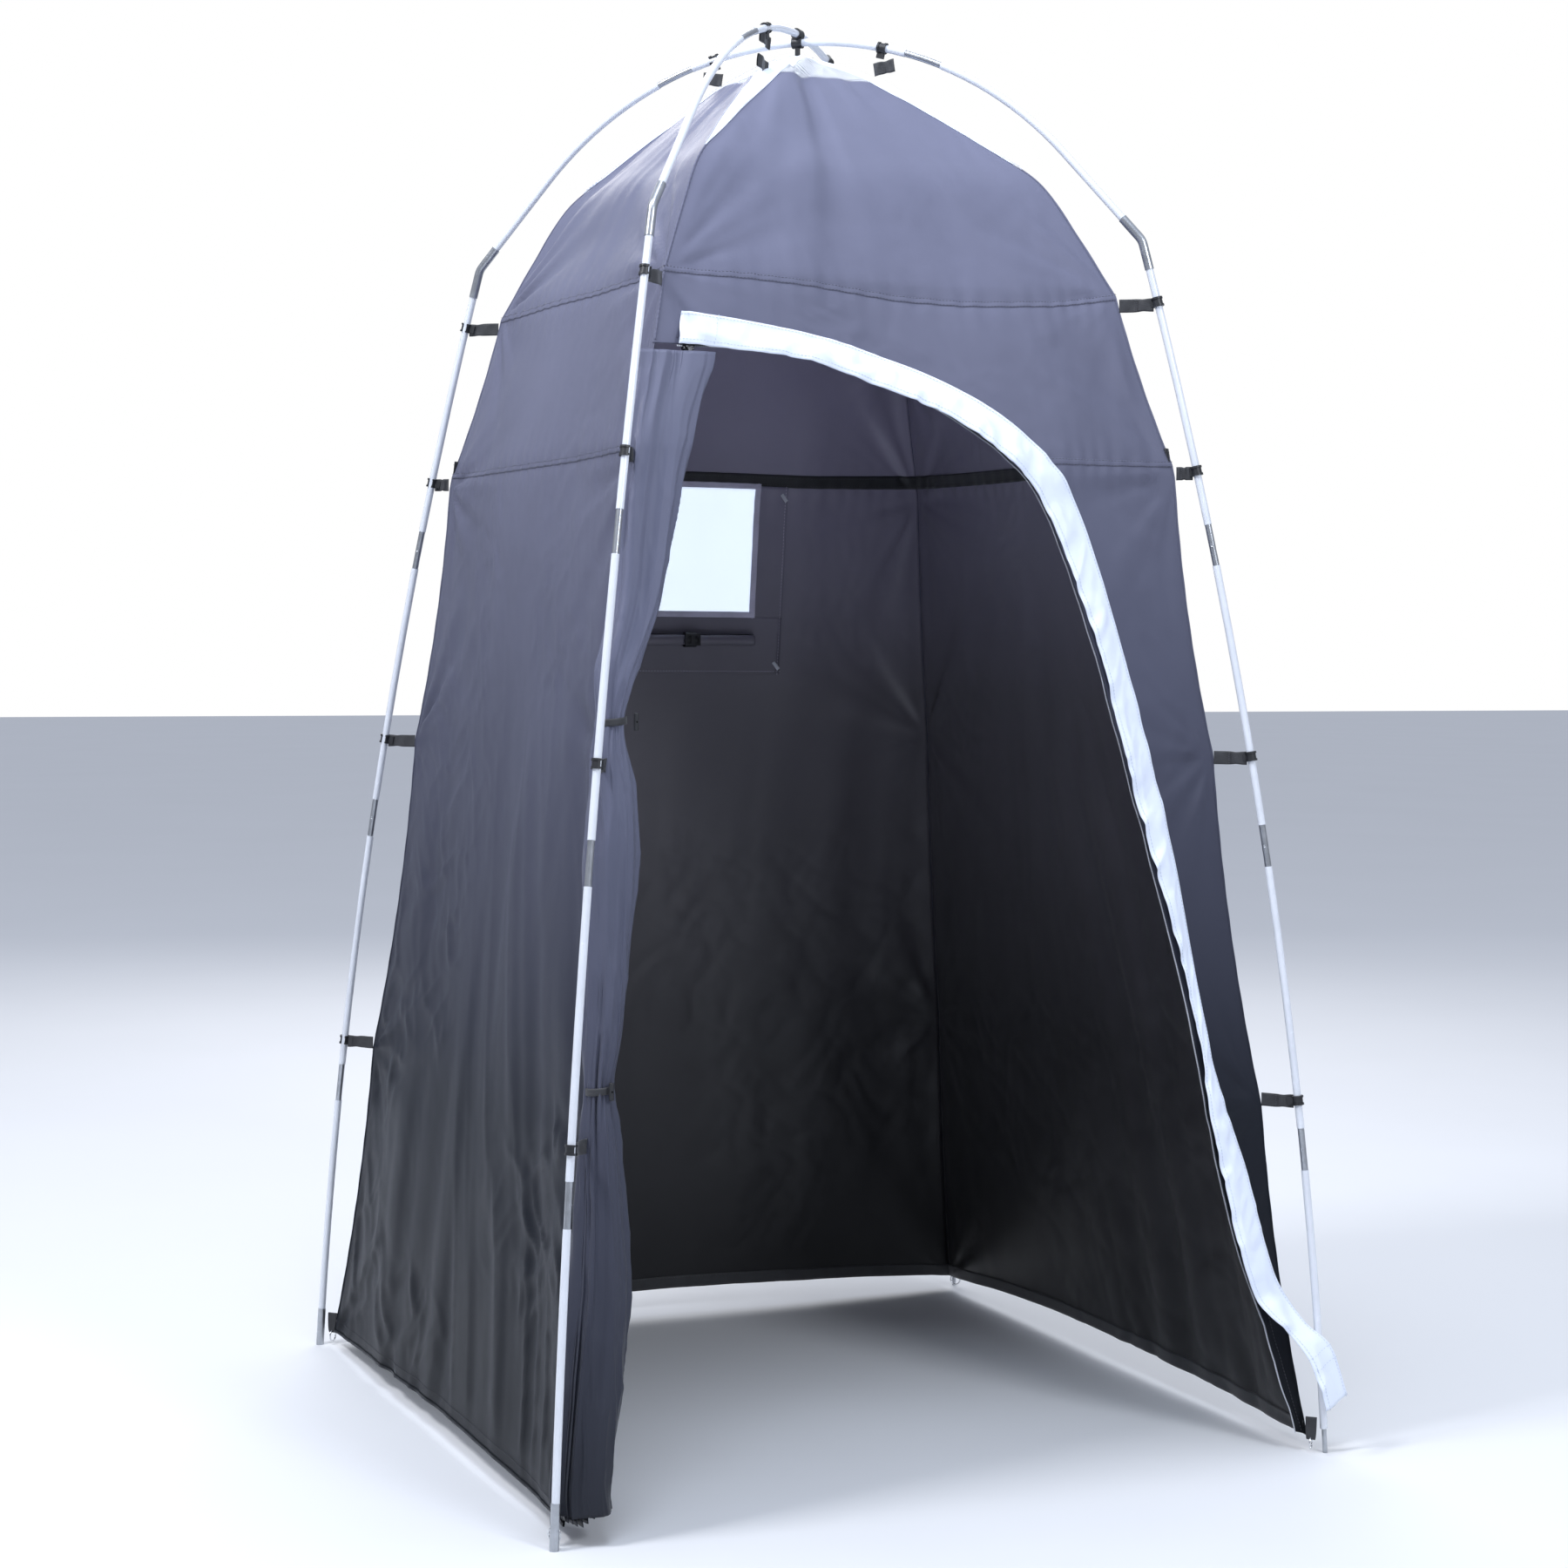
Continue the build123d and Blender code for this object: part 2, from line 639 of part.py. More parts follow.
with BuildPart() as curtain_tabs:
    side_sheet("back", [hem, seam_low], tape * 1.5, -cloth - tape)
    with BuildSketch(Plane.XZ) as tabs:
        with Locations([(x, z) for x in (-tab_x, tab_x) for z in tab_heights]):
            Rectangle(tab_w, tab_h)
    extrude(tabs.sketch, amount=-far, mode=Mode.INTERSECT)
save(curtain_tabs, "curtain_tabs")

roll_y = cabin_half(roll_z) - cloth - tape - roll_radius - 3
with BuildPart() as curtain:
    with BuildSketch(Plane.YZ) as roll:
        with Locations((roll_y, roll_z)):
            Circle(roll_radius)
    extrude(roll.sketch, amount=pane_w / 2, both=True)
save(curtain, "window_curtain")

with BuildPart() as buckle:
    with BuildSketch(Plane.YZ) as loop:
        with Locations((roll_y, roll_z)):
            Circle(roll_radius + buckle_loop)
            Circle(roll_radius + buckle_slack, mode=Mode.SUBTRACT)
    extrude(loop.sketch, amount=buckle_half, both=True)
    face = Plane(origin=(0, roll_y - roll_radius - 1, roll_z), x_dir=(1, 0, 0), z_dir=(0, -1, 0))
    with BuildSketch(face) as plate:
        Rectangle(buckle_w, buckle_h)
        with Locations((-buckle_slot_w, 0), (buckle_slot_w, 0)):
            Rectangle(buckle_slot_w, buckle_slot_h, mode=Mode.SUBTRACT)
    extrude(plate.sketch, amount=buckle_thick)
save(buckle, "curtain_buckle")
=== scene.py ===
import math

import bpy
import numpy as np
from mathutils import Matrix, Vector


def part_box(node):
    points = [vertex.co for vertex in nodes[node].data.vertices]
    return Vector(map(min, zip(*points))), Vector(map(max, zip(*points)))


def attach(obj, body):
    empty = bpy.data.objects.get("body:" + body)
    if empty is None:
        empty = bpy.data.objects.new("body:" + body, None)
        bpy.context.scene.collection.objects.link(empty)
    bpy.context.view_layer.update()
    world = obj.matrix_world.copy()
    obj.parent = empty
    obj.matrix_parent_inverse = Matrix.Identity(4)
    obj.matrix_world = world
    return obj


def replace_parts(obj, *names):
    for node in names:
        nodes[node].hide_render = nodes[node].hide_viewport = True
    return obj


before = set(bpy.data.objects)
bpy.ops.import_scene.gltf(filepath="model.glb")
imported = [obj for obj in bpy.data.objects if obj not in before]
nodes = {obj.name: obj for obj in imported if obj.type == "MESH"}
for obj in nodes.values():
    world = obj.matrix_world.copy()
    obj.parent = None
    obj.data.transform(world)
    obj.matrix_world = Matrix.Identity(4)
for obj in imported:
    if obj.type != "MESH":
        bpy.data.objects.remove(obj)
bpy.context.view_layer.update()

# Lengths are in metres and angles in degrees, unless a name says otherwise.
CORNERS = ((-1, -1), (1, -1), (1, 1), (-1, 1))  # signs of x and y at the four corners
CLOTH_THICK, PALE_THICK, THIN_CLOTH = 0.0009, 0.0008, 0.0006
STITCH_STEP, STITCH_HALF, STITCH_SIZE = 0.0052, 0.0018, 0.00042
SHADE_FADE_TOP = 2.1  # height at which the cloth's painted fade from shade to light ends
FULL_TURN = 2 * math.pi

# --- camera, light and floor ------------------------------------------------------------------
camera = bpy.data.objects.new("camera", bpy.data.cameras.new("camera"))
bpy.context.scene.collection.objects.link(camera)
camera.data.sensor_width = 36.0
camera.data.lens = 66.16
camera.data.clip_end = 200.0
turn = Matrix.Identity(4)
for angle, axis in ((-23.74, "Z"), (-2.81, "X"), (-0.37, "Y"), (90, "X")):
    turn = turn @ Matrix.Rotation(math.radians(angle), 4, axis)
camera.matrix_world = Matrix.Translation((-1.826, -4.118, 1.188)) @ turn
bpy.context.scene.camera = camera
bpy.context.scene.view_settings.view_transform = "Standard"

# A grey sky that brightens upward lights the object, and the camera sees plain white.
world = bpy.data.worlds.new("studio")
bpy.context.scene.world = world
world.use_nodes = True
tree = world.node_tree
direction = tree.nodes.new("ShaderNodeTexCoord").outputs["Generated"]
split = tree.nodes.new("ShaderNodeSeparateXYZ")
tree.links.new(direction, split.inputs["Vector"])
sky = tree.nodes.new("ShaderNodeValToRGB")
sky.color_ramp.elements[0].position = 0.02
sky.color_ramp.elements[0].color = (0.30, 0.31, 0.34, 1)
sky.color_ramp.elements[1].position = 0.8
sky.color_ramp.elements[1].color = (0.66, 0.71, 0.82, 1)
tree.links.new(split.outputs["Z"], sky.inputs["Fac"])
studio = tree.nodes.new("ShaderNodeMix")
studio.data_type = "RGBA"
seen = tree.nodes.new("ShaderNodeLightPath").outputs["Is Camera Ray"]
tree.links.new(seen, studio.inputs["Factor"])
tree.links.new(sky.outputs["Color"], studio.inputs["A"])
studio.inputs["B"].default_value = (1, 1, 1, 1)
tree.links.new(studio.outputs["Result"], tree.nodes["Background"].inputs["Color"])


def lamp(name, place, size, power, colour, target=(0, 0, 1.0)):
    """A soft square light that faces the target."""
    data = bpy.data.lights.new(name, "AREA")
    data.size, data.energy, data.color = size, power, colour
    light = bpy.data.objects.new(name, data)
    bpy.context.scene.collection.objects.link(light)
    light.location = place
    facing = Vector(target) - Vector(place)
    light.rotation_euler = facing.to_track_quat("-Z", "Y").to_euler()


lamp("key", (1.2, -5.0, 3.8), 1.1, 110, (0.90, 0.94, 1.0), (0, 0, 1.4))
lamp("overhead", (-0.8, -1.6, 5.4), 1.6, 106, (0.80, 0.88, 1.0), (0, 0, 1.7))
lamp("left", (-3.0, -0.4, 4.4), 0.9, 140, (0.95, 0.96, 1.0), (-0.4, 0, 2.0))
lamp("back", (1.5, 4.5, 4.0), 3.0, 110, (1.0, 0.98, 0.95))


# --- materials --------------------------------------------------------------------------------
def material(name, colour, rough, vary=0.12, patch=6.0, weave=0.0, grain=0.1,
             grain_scale=400.0, **sockets):
    """A principled material with patches of tone, an optional woven relief and a fine grain.

    The colour is one colour, or a list of (height, colour) stops that paint shade low down
    and light higher up. vary and patch are the depth and the scale of the patches, weave is the
    pitch of the threads, and grain is the strength of the finest relief.
    """
    mat = bpy.data.materials.new(name)
    mat.use_nodes = True
    tree = mat.node_tree
    shader = tree.nodes["Principled BSDF"]
    for socket, value in sockets.items():
        shader.inputs[socket.replace("_", " ")].default_value = value
    where = tree.nodes.new("ShaderNodeTexCoord").outputs["Object"]

    def clouds(scale, detail=3.0):
        node = tree.nodes.new("ShaderNodeTexNoise")
        node.inputs["Scale"].default_value = scale
        node.inputs["Detail"].default_value = detail
        node.inputs["Roughness"].default_value = 0.55
        tree.links.new(where, node.inputs["Vector"])
        return node.outputs["Fac"]

    ramp = tree.nodes.new("ShaderNodeValToRGB")
    ramp.color_ramp.elements[0].position = 0.3
    ramp.color_ramp.elements[1].position = 0.7
    tones = [(1.0 - vary,) * 3, (1.0 + vary,) * 3]
    if not isinstance(colour, list):
        tones = [[c * tone[0] for c in colour] for tone in tones]
    brightest = 1.15
    for element, tone in zip(ramp.color_ramp.elements, tones):
        element.color = (*[min(brightest, c) for c in tone], 1)
    tree.links.new(clouds(patch, 5.0), ramp.inputs["Fac"])
    paint = ramp.outputs["Color"]
    # Height stops multiply the patches: painted shade at the hem, fading to painted light higher
    # up.
    if isinstance(colour, list):
        height = tree.nodes.new("ShaderNodeSeparateXYZ")
        tree.links.new(where, height.inputs["Vector"])
        share = tree.nodes.new("ShaderNodeMapRange")
        share.inputs["From Max"].default_value = SHADE_FADE_TOP
        tree.links.new(height.outputs["Z"], share.inputs["Value"])
        fade = tree.nodes.new("ShaderNodeValToRGB")
        stops = fade.color_ramp.elements
        for _ in colour[2:]:
            stops.new(0.5)
        for stop, (z, shade) in zip(stops, colour):
            stop.position = z / SHADE_FADE_TOP
            stop.color = (*shade, 1)
        tree.links.new(share.outputs["Result"], fade.inputs["Fac"])
        both = tree.nodes.new("ShaderNodeMix")
        both.data_type = "RGBA"
        both.blend_type = "MULTIPLY"
        both.inputs["Factor"].default_value = 1.0
        tree.links.new(fade.outputs["Color"], both.inputs["A"])
        tree.links.new(paint, both.inputs["B"])
        paint = both.outputs["Result"]
    tree.links.new(paint, shader.inputs["Base Color"])

    gloss = tree.nodes.new("ShaderNodeMapRange")
    smoothest, dullest = 0.86, 1.14
    gloss.inputs["To Min"].default_value = rough * smoothest
    gloss.inputs["To Max"].default_value = min(1.0, rough * dullest)
    tree.links.new(clouds(patch * 4), gloss.inputs["Value"])
    tree.links.new(gloss.outputs["Result"], shader.inputs["Roughness"])

    relief = tree.nodes.new("ShaderNodeBump")
    relief.inputs["Strength"].default_value = grain
    relief.inputs["Distance"].default_value = 0.0004
    tree.links.new(clouds(grain_scale, 2.0), relief.inputs["Height"])
    if weave:
        split = tree.nodes.new("ShaderNodeSeparateXYZ")
        tree.links.new(where, split.inputs["Vector"])
        along = tree.nodes.new("ShaderNodeMath")
        tree.links.new(split.outputs["X"], along.inputs[0])
        tree.links.new(split.outputs["Y"], along.inputs[1])
        threads = []
        for source in (along.outputs["Value"], split.outputs["Z"]):
            pitch = tree.nodes.new("ShaderNodeMath")
            pitch.operation = "MULTIPLY"
            pitch.inputs[1].default_value = FULL_TURN / weave
            tree.links.new(source, pitch.inputs[0])
            wave = tree.nodes.new("ShaderNodeMath")
            wave.operation = "SINE"
            tree.links.new(pitch.outputs["Value"], wave.inputs[0])
            threads.append(wave.outputs["Value"])
        cross = tree.nodes.new("ShaderNodeMath")
        cross.operation = "MULTIPLY"
        tree.links.new(threads[0], cross.inputs[0])
        tree.links.new(threads[1], cross.inputs[1])
        woven = tree.nodes.new("ShaderNodeBump")
        woven.inputs["Strength"].default_value = 0.35
        woven.inputs["Distance"].default_value = 0.0002
        tree.links.new(cross.outputs["Value"], woven.inputs["Height"])
        tree.links.new(relief.outputs["Normal"], woven.inputs["Normal"])
        relief = woven
    tree.links.new(relief.outputs["Normal"], shader.inputs["Normal"])
    return mat


# Painted shade and light: the colour fades from dark at the hem to light above, as the light comes
# through the upper cloth.
outer_cloth = material(
    "outer_cloth",
    [(0.0, (0.008, 0.009, 0.011)), (0.5, (0.015, 0.017, 0.023)), (1.1, (0.076, 0.080, 0.116)),
     (1.6, (0.132, 0.137, 0.196)), (SHADE_FADE_TOP, (0.158, 0.166, 0.240))],
    0.33, 0.08, 3.0, 0.0016, 0.25, 240.0, Specular_IOR_Level=0.06,
    Sheen_Weight=0.05, Sheen_Roughness=0.35, Sheen_Tint=(0.7, 0.78, 1.0, 1),
)
# Painted shade and light: the door cloth fades from dark at the hem to light higher up.
door_painted_shade = material(
    "door_painted_shade",
    [(0.0, (0.020, 0.022, 0.028)), (0.5, (0.052, 0.056, 0.080)), (1.1, (0.120, 0.128, 0.185)),
     (1.6, (0.135, 0.142, 0.205))],
    0.33, 0.08, 3.0, 0.0016, 0.25, 240.0, Sheen_Weight=0.05, Specular_IOR_Level=0.10,
)
# Painted shade and light inside: near black at the hem, fading to light under the roof where light
# comes through the cloth.
inner_cloth = material(
    "inner_cloth",
    [(0.0, (0.006, 0.006, 0.007)), (0.55, (0.034, 0.033, 0.038)), (1.1, (0.115, 0.110, 0.130)),
     (1.7, (0.320, 0.300, 0.420))],
    0.34, 0.12, 3.0, 0.0016, 0.25, 240.0,
    Sheen_Weight=0.05, Sheen_Roughness=0.5, Specular_IOR_Level=0.4,
)
pale_cloth = material(
    "pale_cloth", (0.74, 0.80, 0.93), 0.55, 0.05, 9.0, 0.0016, 0.3, 200.0,
    Sheen_Weight=0.3, Sheen_Roughness=0.5,
)
net_thread = material("net_thread", (0.86, 0.88, 0.92), 0.6, 0.05, 20.0, 0.0, 0.2, 600.0)
webbing = material(
    "webbing", (0.020, 0.021, 0.025), 0.62, 0.25, 60.0, 0.0022, 0.5, 500.0, Sheen_Weight=0.2
)
thread = material("thread", (0.050, 0.052, 0.062), 0.6, 0.2, 90.0, 0.0, 0.3, 900.0)
pale_thread = material("pale_thread", (0.55, 0.6, 0.7), 0.6, 0.1, 90.0, 0.0, 0.3, 900.0)
binding_cloth = material("binding_cloth", (0.58, 0.56, 0.70), 0.6, 0.12, 30.0, 0.0018, 0.3, 400.0)
tag_cloth = material("tag_cloth", (0.5, 0.52, 0.58), 0.6, 0.1, 40.0, 0.0018, 0.3, 400.0)
white_rod = material(
    "white_rod", (0.66, 0.69, 0.75), 0.26, 0.05, 14.0, 0.0, 0.02, 300.0, Coat_Weight=0.3
)
bare_metal = material(
    "bare_metal", (0.42, 0.44, 0.47), 0.30, 0.18, 40.0, 0.0, 0.3, 700.0, Metallic=0.9
)
bright_wire = material(
    "bright_wire", (0.75, 0.76, 0.78), 0.18, 0.1, 60.0, 0.0, 0.1, 700.0, Metallic=1.0
)
moulding = material("moulding", (0.016, 0.017, 0.020), 0.42, 0.3, 50.0, 0.0, 0.35, 900.0)
coil_nylon = material("coil_nylon", (0.62, 0.64, 0.70), 0.35, 0.15, 60.0, 0.0, 0.2, 900.0)
lacquer = material("lacquer", (0.03, 0.03, 0.034), 0.25, 0.3, 120.0, 0.0, 0.2, 900.0, Metallic=0.6)
elastic = material("elastic", (0.7, 0.7, 0.72), 0.7, 0.1, 80.0, 0.0018, 0.4, 900.0)
floor_paint = material("floor_paint", (0.70, 0.71, 0.73), 0.8, 0.01, 1.0, 0.0, 0.05, 60.0)

# Painted light: the window film glows pale blue, standing in for the bright sky seen through it.
film = material(
    "film", (0.80, 0.88, 0.97), 0.35, 0.04, 12.0, 0.0, 0.15, 40.0,
    Transmission_Weight=0.75, IOR=1.05, Emission_Color=(0.80, 0.88, 1.0, 1), Emission_Strength=0.42,
)

floor_mesh = bpy.data.meshes.new("floor")
floor_mesh.from_pydata([(x * 40, y * 40, 0) for x, y in CORNERS], [], [(0, 1, 2, 3)])
floor_mesh.materials.append(floor_paint)
floor = bpy.data.objects.new("floor", floor_mesh)
bpy.context.scene.collection.objects.link(floor)

# CAD nodes that stay visible, by how their names start.
finishes = (
    (("leg_rods", "roof_rods"), white_rod),
    (("leg_connectors", "roof_connectors", "elbows", "foot_"), bare_metal),
    (("peg_ring",), bright_wire),
    (("pole_hooks", "apex_hook", "toggle", "curtain_buckle"), moulding),
    (("shock_cord",), elastic),
    (("zip_",), lacquer),
)
for name, node in nodes.items():
    node.data.materials.clear()
    node.data.materials.append(
        next((finish for starts, finish in finishes if name.startswith(starts)), outer_cloth)
    )


# --- mesh helpers -----------------------------------------------------------------------------
def quads_of(index):
    """Corner numbers of each cell of a grid of vertex numbers."""
    return np.stack([index[:-1, :-1], index[:-1, 1:], index[1:, 1:], index[1:, :-1]], -1)


class Mesh:
    """Collects vertices and faces of one piece."""

    def __init__(self):
        self.points, self.faces, self.count = [], [], 0

    def add(self, points, faces):
        """Vertices, and faces that count from the first of them."""
        self.points.append(np.asarray(points, float).reshape(-1, 3))
        self.faces.extend((np.asarray(faces) + self.count).tolist())
        self.count += len(self.points[-1])

    def grid(self, points, wrap=False):
        """A net of quads over points given as rows x columns x 3."""
        rows, cols = points.shape[:2]
        index = np.arange(rows * cols).reshape(rows, cols)
        if wrap:
            index = np.hstack([index, index[:, :1]])
        self.add(points, quads_of(index).reshape(-1, 4))

    def build(self, name, mats, slot, thick=0.0, offset=-1.0):
        """The mesh as a piece that rides on the tent, thickened where thick is given."""
        data = bpy.data.meshes.new(name)
        data.from_pydata(np.vstack(self.points).tolist(), [], self.faces)
        for mat in mats:
            data.materials.append(mat)
        data.polygons.foreach_set("use_smooth", [True] * len(data.polygons))
        data.update()
        piece = bpy.data.objects.new(name, data)
        bpy.context.scene.collection.objects.link(piece)
        if thick:
            skin = piece.modifiers.new("thickness", "SOLIDIFY")
            skin.thickness, skin.offset = thick, offset
            skin.material_offset = len(mats) - 1
            skin.use_rim = True
        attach(piece, "tent")
        return piece


def spline(points, count):
    """Catmull-Rom curve through the points, resampled to even steps."""
    points = np.asarray(points, float)
    padded = np.vstack([2 * points[0] - points[1], points, 2 * points[-1] - points[-2]])
    t = np.linspace(0, 1, 24, endpoint=False)[:, None]
    pieces = []
    for a, b, c, d in zip(padded, padded[1:], padded[2:], padded[3:]):
        square, cube = (2 * a - 5 * b + 4 * c - d) * t**2, (3 * b - a - 3 * c + d) * t**3
        pieces.append(0.5 * (2 * b + (c - a) * t + square + cube))
    curve = np.vstack(pieces + [points[-1:]])
    return even(curve, count)


def even(curve, count):
    """The curve as this many points, evenly spaced along it."""
    steps = np.r_[0, np.cumsum(np.linalg.norm(np.diff(curve, axis=0), axis=1))]
    at = np.linspace(0, steps[-1], count)
    return np.stack([np.interp(at, steps, curve[:, k]) for k in range(curve.shape[1])], 1)


def path_length(curve):
    return float(np.linalg.norm(np.diff(curve, axis=0), axis=1).sum())


TABLES, CELLS = 8, 64
tables = [np.random.default_rng(40 + k).uniform(-1, 1, (CELLS, CELLS)) for k in range(TABLES)]


def noise(u, v, seed=0):
    """Smooth random height between -1 and 1."""
    table = tables[seed % TABLES]
    shift = 17.3 * seed
    u, v = u + shift, v + shift * 0.7
    iu, iv = np.floor(u).astype(int), np.floor(v).astype(int)
    fu, fv = u - iu, v - iv
    fu, fv = fu**3 * (fu * (fu * 6 - 15) + 10), fv**3 * (fv * (fv * 6 - 15) + 10)

    def pick(a, b):
        return table[(iu + a) % CELLS, (iv + b) % CELLS]

    low = pick(0, 0) * (1 - fu) + pick(1, 0) * fu
    high = pick(0, 1) * (1 - fu) + pick(1, 1) * fu
    return low * (1 - fv) + high * fv


def ridge(u, v, seed=0):
    """Sharp creases between smooth hollows, from -1 to 1."""
    return 1 - 2 * np.abs(noise(u, v, seed)) ** 0.7


def smooth(x):
    """A soft step from 0 to 1 as x does."""
    x = np.clip(x, 0, 1)
    return x * x * (3 - 2 * x)


# --- the cabin's surface ----------------------------------------------------------------------
sides = {"front": (0, -1), "right": (1, 0), "back": (0, 1), "left": (-1, 0)}  # the way out
side_seed = {"front": 1, "right": 2, "back": 3, "left": 4}
hem_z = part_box("right_wall_lower")[0].z
hem_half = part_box("right_wall_lower")[1].x
low_z, low_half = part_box("right_wall_lower")[1].z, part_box("right_wall_upper")[1].x
high_z, high_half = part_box("right_wall_upper")[1].z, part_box("right_roof")[1].x
rim_z, rim_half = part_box("right_roof")[1].z, 0.100  # the crown's rim
top_z, top_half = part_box("crown_mesh")[1].z, 0.008
tip_half, band_half = 0.257, 0.026  # half-widths of the cabin at the band tips, and of a band
strap_z = [hem_z, 0.51, 1.025, 1.435, high_z]  # heights of the straps to the hooks
corner_pull = [0.006, 0.007, 0.006, 0.004]  # how far a corner draws in between two straps
arch = {"left": 0.012, "right": 0.024, "back": 0.022, "front": 0.0}  # rise of a hem's middle

roof_curve = spline(
    [(high_half, high_z), (0.3195, 1.795), (0.280, 1.873), (0.236, 1.920), (0.190, 1.966),
     (0.145, 2.007), (rim_half, rim_z)], 120,
)
crown_curve = spline([(rim_half, rim_z), (0.055, 2.070), (top_half, top_z)], 40)
outline = np.vstack([[(hem_half, hem_z), (low_half, low_z)], roof_curve, crown_curve[1:]])


def half(z):
    """Half-width of the cabin, without the pull of its corners."""
    return np.interp(z, outline[:, 1], outline[:, 0])


def scallop(z):
    """How far the corners draw in between the hooks."""
    z = np.asarray(z, float)
    depth = np.zeros_like(z)
    for low, high, pull in zip(strap_z, strap_z[1:], corner_pull):
        t = np.clip((z - low) / (high - low), 0, 1)
        depth += pull * 4 * t * (1 - t)
    return depth


def corner_half(z):
    return half(z) - scallop(z)


def panel_half(z):
    """Half-width of a side's cloth: to the corner, and above the band tips to the ridge bands."""
    h = half(z)
    span = tip_half - rim_half
    upper = (rim_half - band_half) + (h - rim_half) * (span + band_half) / span
    return np.where(h < tip_half, upper, corner_half(z))


def gore_half(z):
    """Half-width of the crown's net between the ridge bands."""
    narrowing = 0.915
    return np.clip((rim_half - band_half) + (half(z) - rim_half) * narrowing, 0.0, None)


front_seam_s = [-0.36, -0.23, -0.09, 0, 0.096, 0.246, 0.36]
front_seam_z = [1.706, 1.703, 1.694, 1.683, 1.68, 1.688, 1.704]


def seam_at(side, s, z):
    """Height of a seam along a side; the front's high seam sags."""
    if side == "front" and z == high_z:
        return np.interp(s, front_seam_s, front_seam_z)
    sag, reach = 0.004, 0.4
    return z - sag * (1 - (s / reach) ** 2)


def wrinkles(side, s, z):
    """Height of the cloth's folds and creases above its smooth surface."""
    seed = side_seed[side]
    h = corner_half(z)
    u = np.clip(np.abs(s) / np.maximum(h, 0.02), 0, 1)
    edge = smooth((1 - u) * h / 0.035)
    broad = smooth((1 - u) * h / 0.22)
    wall = smooth((high_z + 0.05 - z) / 0.15)
    roof = 1 - wall
    out = np.zeros_like(s)

    # Broad swells, and upright drapes that deepen toward the hem.
    swell, drape = 0.009, 0.0026
    out += wall * broad * swell * noise(s / 0.30, z / 0.55, seed)
    lean = s + 0.05 * noise(s / 0.4, z / 0.5, seed + 1)
    deeper = 0.45 + 0.55 * smooth((1.5 - z) / 0.8)
    out += wall * edge * drape * noise(lean / 0.060, z / 0.65, seed + 2) * deeper

    # Crumpled patches, along two slanting directions.
    patch = smooth(0.5 + 1.6 * noise(s / 0.22, z / 0.30, seed + 3))
    a, b = s * 0.8 + z * 0.6, z * 0.8 - s * 0.6
    a, b = a + 0.03 * noise(s / 0.09, z / 0.09, seed), b + 0.03 * noise(s / 0.1, z / 0.1, seed + 1)
    crumple = ridge(a / 0.055, b / 0.085, seed + 4) * 0.6
    crumple = crumple + ridge(b / 0.042, a / 0.10, seed + 5) * 0.4
    low = smooth((1.35 - z) / 0.7)
    calm = {"back": 0.5, "right": 0.6, "left": 1.0, "front": 0.8}[side]
    out += edge * patch * calm * (0.0014 + 0.0024 * low) * crumple * (0.35 * roof + wall)

    # Long slanting folds where the side walls are pulled to the front corners.
    if side in ("right", "left"):
        forward = -s if side == "right" else s
        slant, run = forward * 0.97 - (1.1 - z) * 0.25, z + forward * 0.25
        pull = smooth(0.5 + forward / 0.35) * smooth(z / 0.12) * smooth((1.35 - z) / 0.5)
        deep, sharp = (0.0075 if side == "right" else 0.0048), 0.0022
        out += edge * pull * deep * noise(slant / 0.055, run / 0.9, seed + 1)
        out += edge * pull * sharp * ridge(slant / 0.045, run / 0.6, seed + 3)
    fine = 0.0005
    out += edge * fine * noise(a / 0.016, b / 0.03, seed + 6) * (0.3 + patch)

    # Folds that fan out from each strap.
    fan_height, fan_reach = 0.0085, 0.14
    for k, hook_z in enumerate(strap_z):
        for way in (-1, 1):
            dx, dz = np.maximum(h - way * s, 0), z - hook_z
            r = np.hypot(dx, dz) + 1e-6
            angle = np.arctan2(dz, dx)
            fan = noise(angle * (3.1 + 0.4 * k) + 1.7 * seed + way, r / 0.5, seed + k)
            out += fan_height * fan * np.exp(-r / fan_reach) * smooth(r / 0.06) * edge

    # Puckers along the seams, which lie in a shallow groove.
    pucker_height, pucker_pitch, groove, groove_width = 0.0011, 0.034, 0.0018, 0.012
    for seam in (low_z, high_z):
        line = seam_at(side, s, seam)
        pucker = np.sin(FULL_TURN * s / pucker_pitch + 5 * noise(s / 0.13, s * 0, seed))
        out += pucker_height * pucker * np.exp(-np.abs(z - line) / 0.02) * edge
        out -= groove * np.exp(-(((z - line) / groove_width) ** 2)) * edge

    # Folds that run down the roof from the crown, and the roof's hollow between the bands.
    roof_fold, hollow, apex_z = 0.0048, 0.006, 2.16
    fold = np.arctan2(s + (0.02 if side == "front" else 0), np.maximum(apex_z - z, 0.02))
    out += roof * roof_fold * noise(fold * 6.5, z / 0.9, seed + 2) * smooth((1 - u) * 3)
    taper = np.clip((rim_z - z) / 0.1, 0, 1)
    out -= roof * hollow * smooth((z - high_z) / 0.1) * (1 - u * u) * taper
    return out


def on_side(side, s, z, lift=0.0):
    """Points of a side's cloth at s along the side and height z, lifted off its outer face."""
    s, z = np.broadcast_arrays(np.asarray(s, float), np.asarray(z, float))
    out = np.array([*sides[side], 0.0])
    along = np.array([-sides[side][1], sides[side][0], 0.0])
    h = half(z)
    nudge = 0.004
    slope = (half(z + nudge) - half(z - nudge)) / (2 * nudge)
    size = np.sqrt(1 + slope**2)
    u = np.clip(np.abs(s) / np.maximum(corner_half(z), 0.02), 0, 1.05)
    rise = wrinkles(side, s, z) + lift
    reach = h - scallop(z) * u**6 + rise / size
    up = np.array([0, 0, 1.0])
    height = z - rise * slope / size
    return out * reach[..., None] + along * s[..., None] + up * height[..., None]


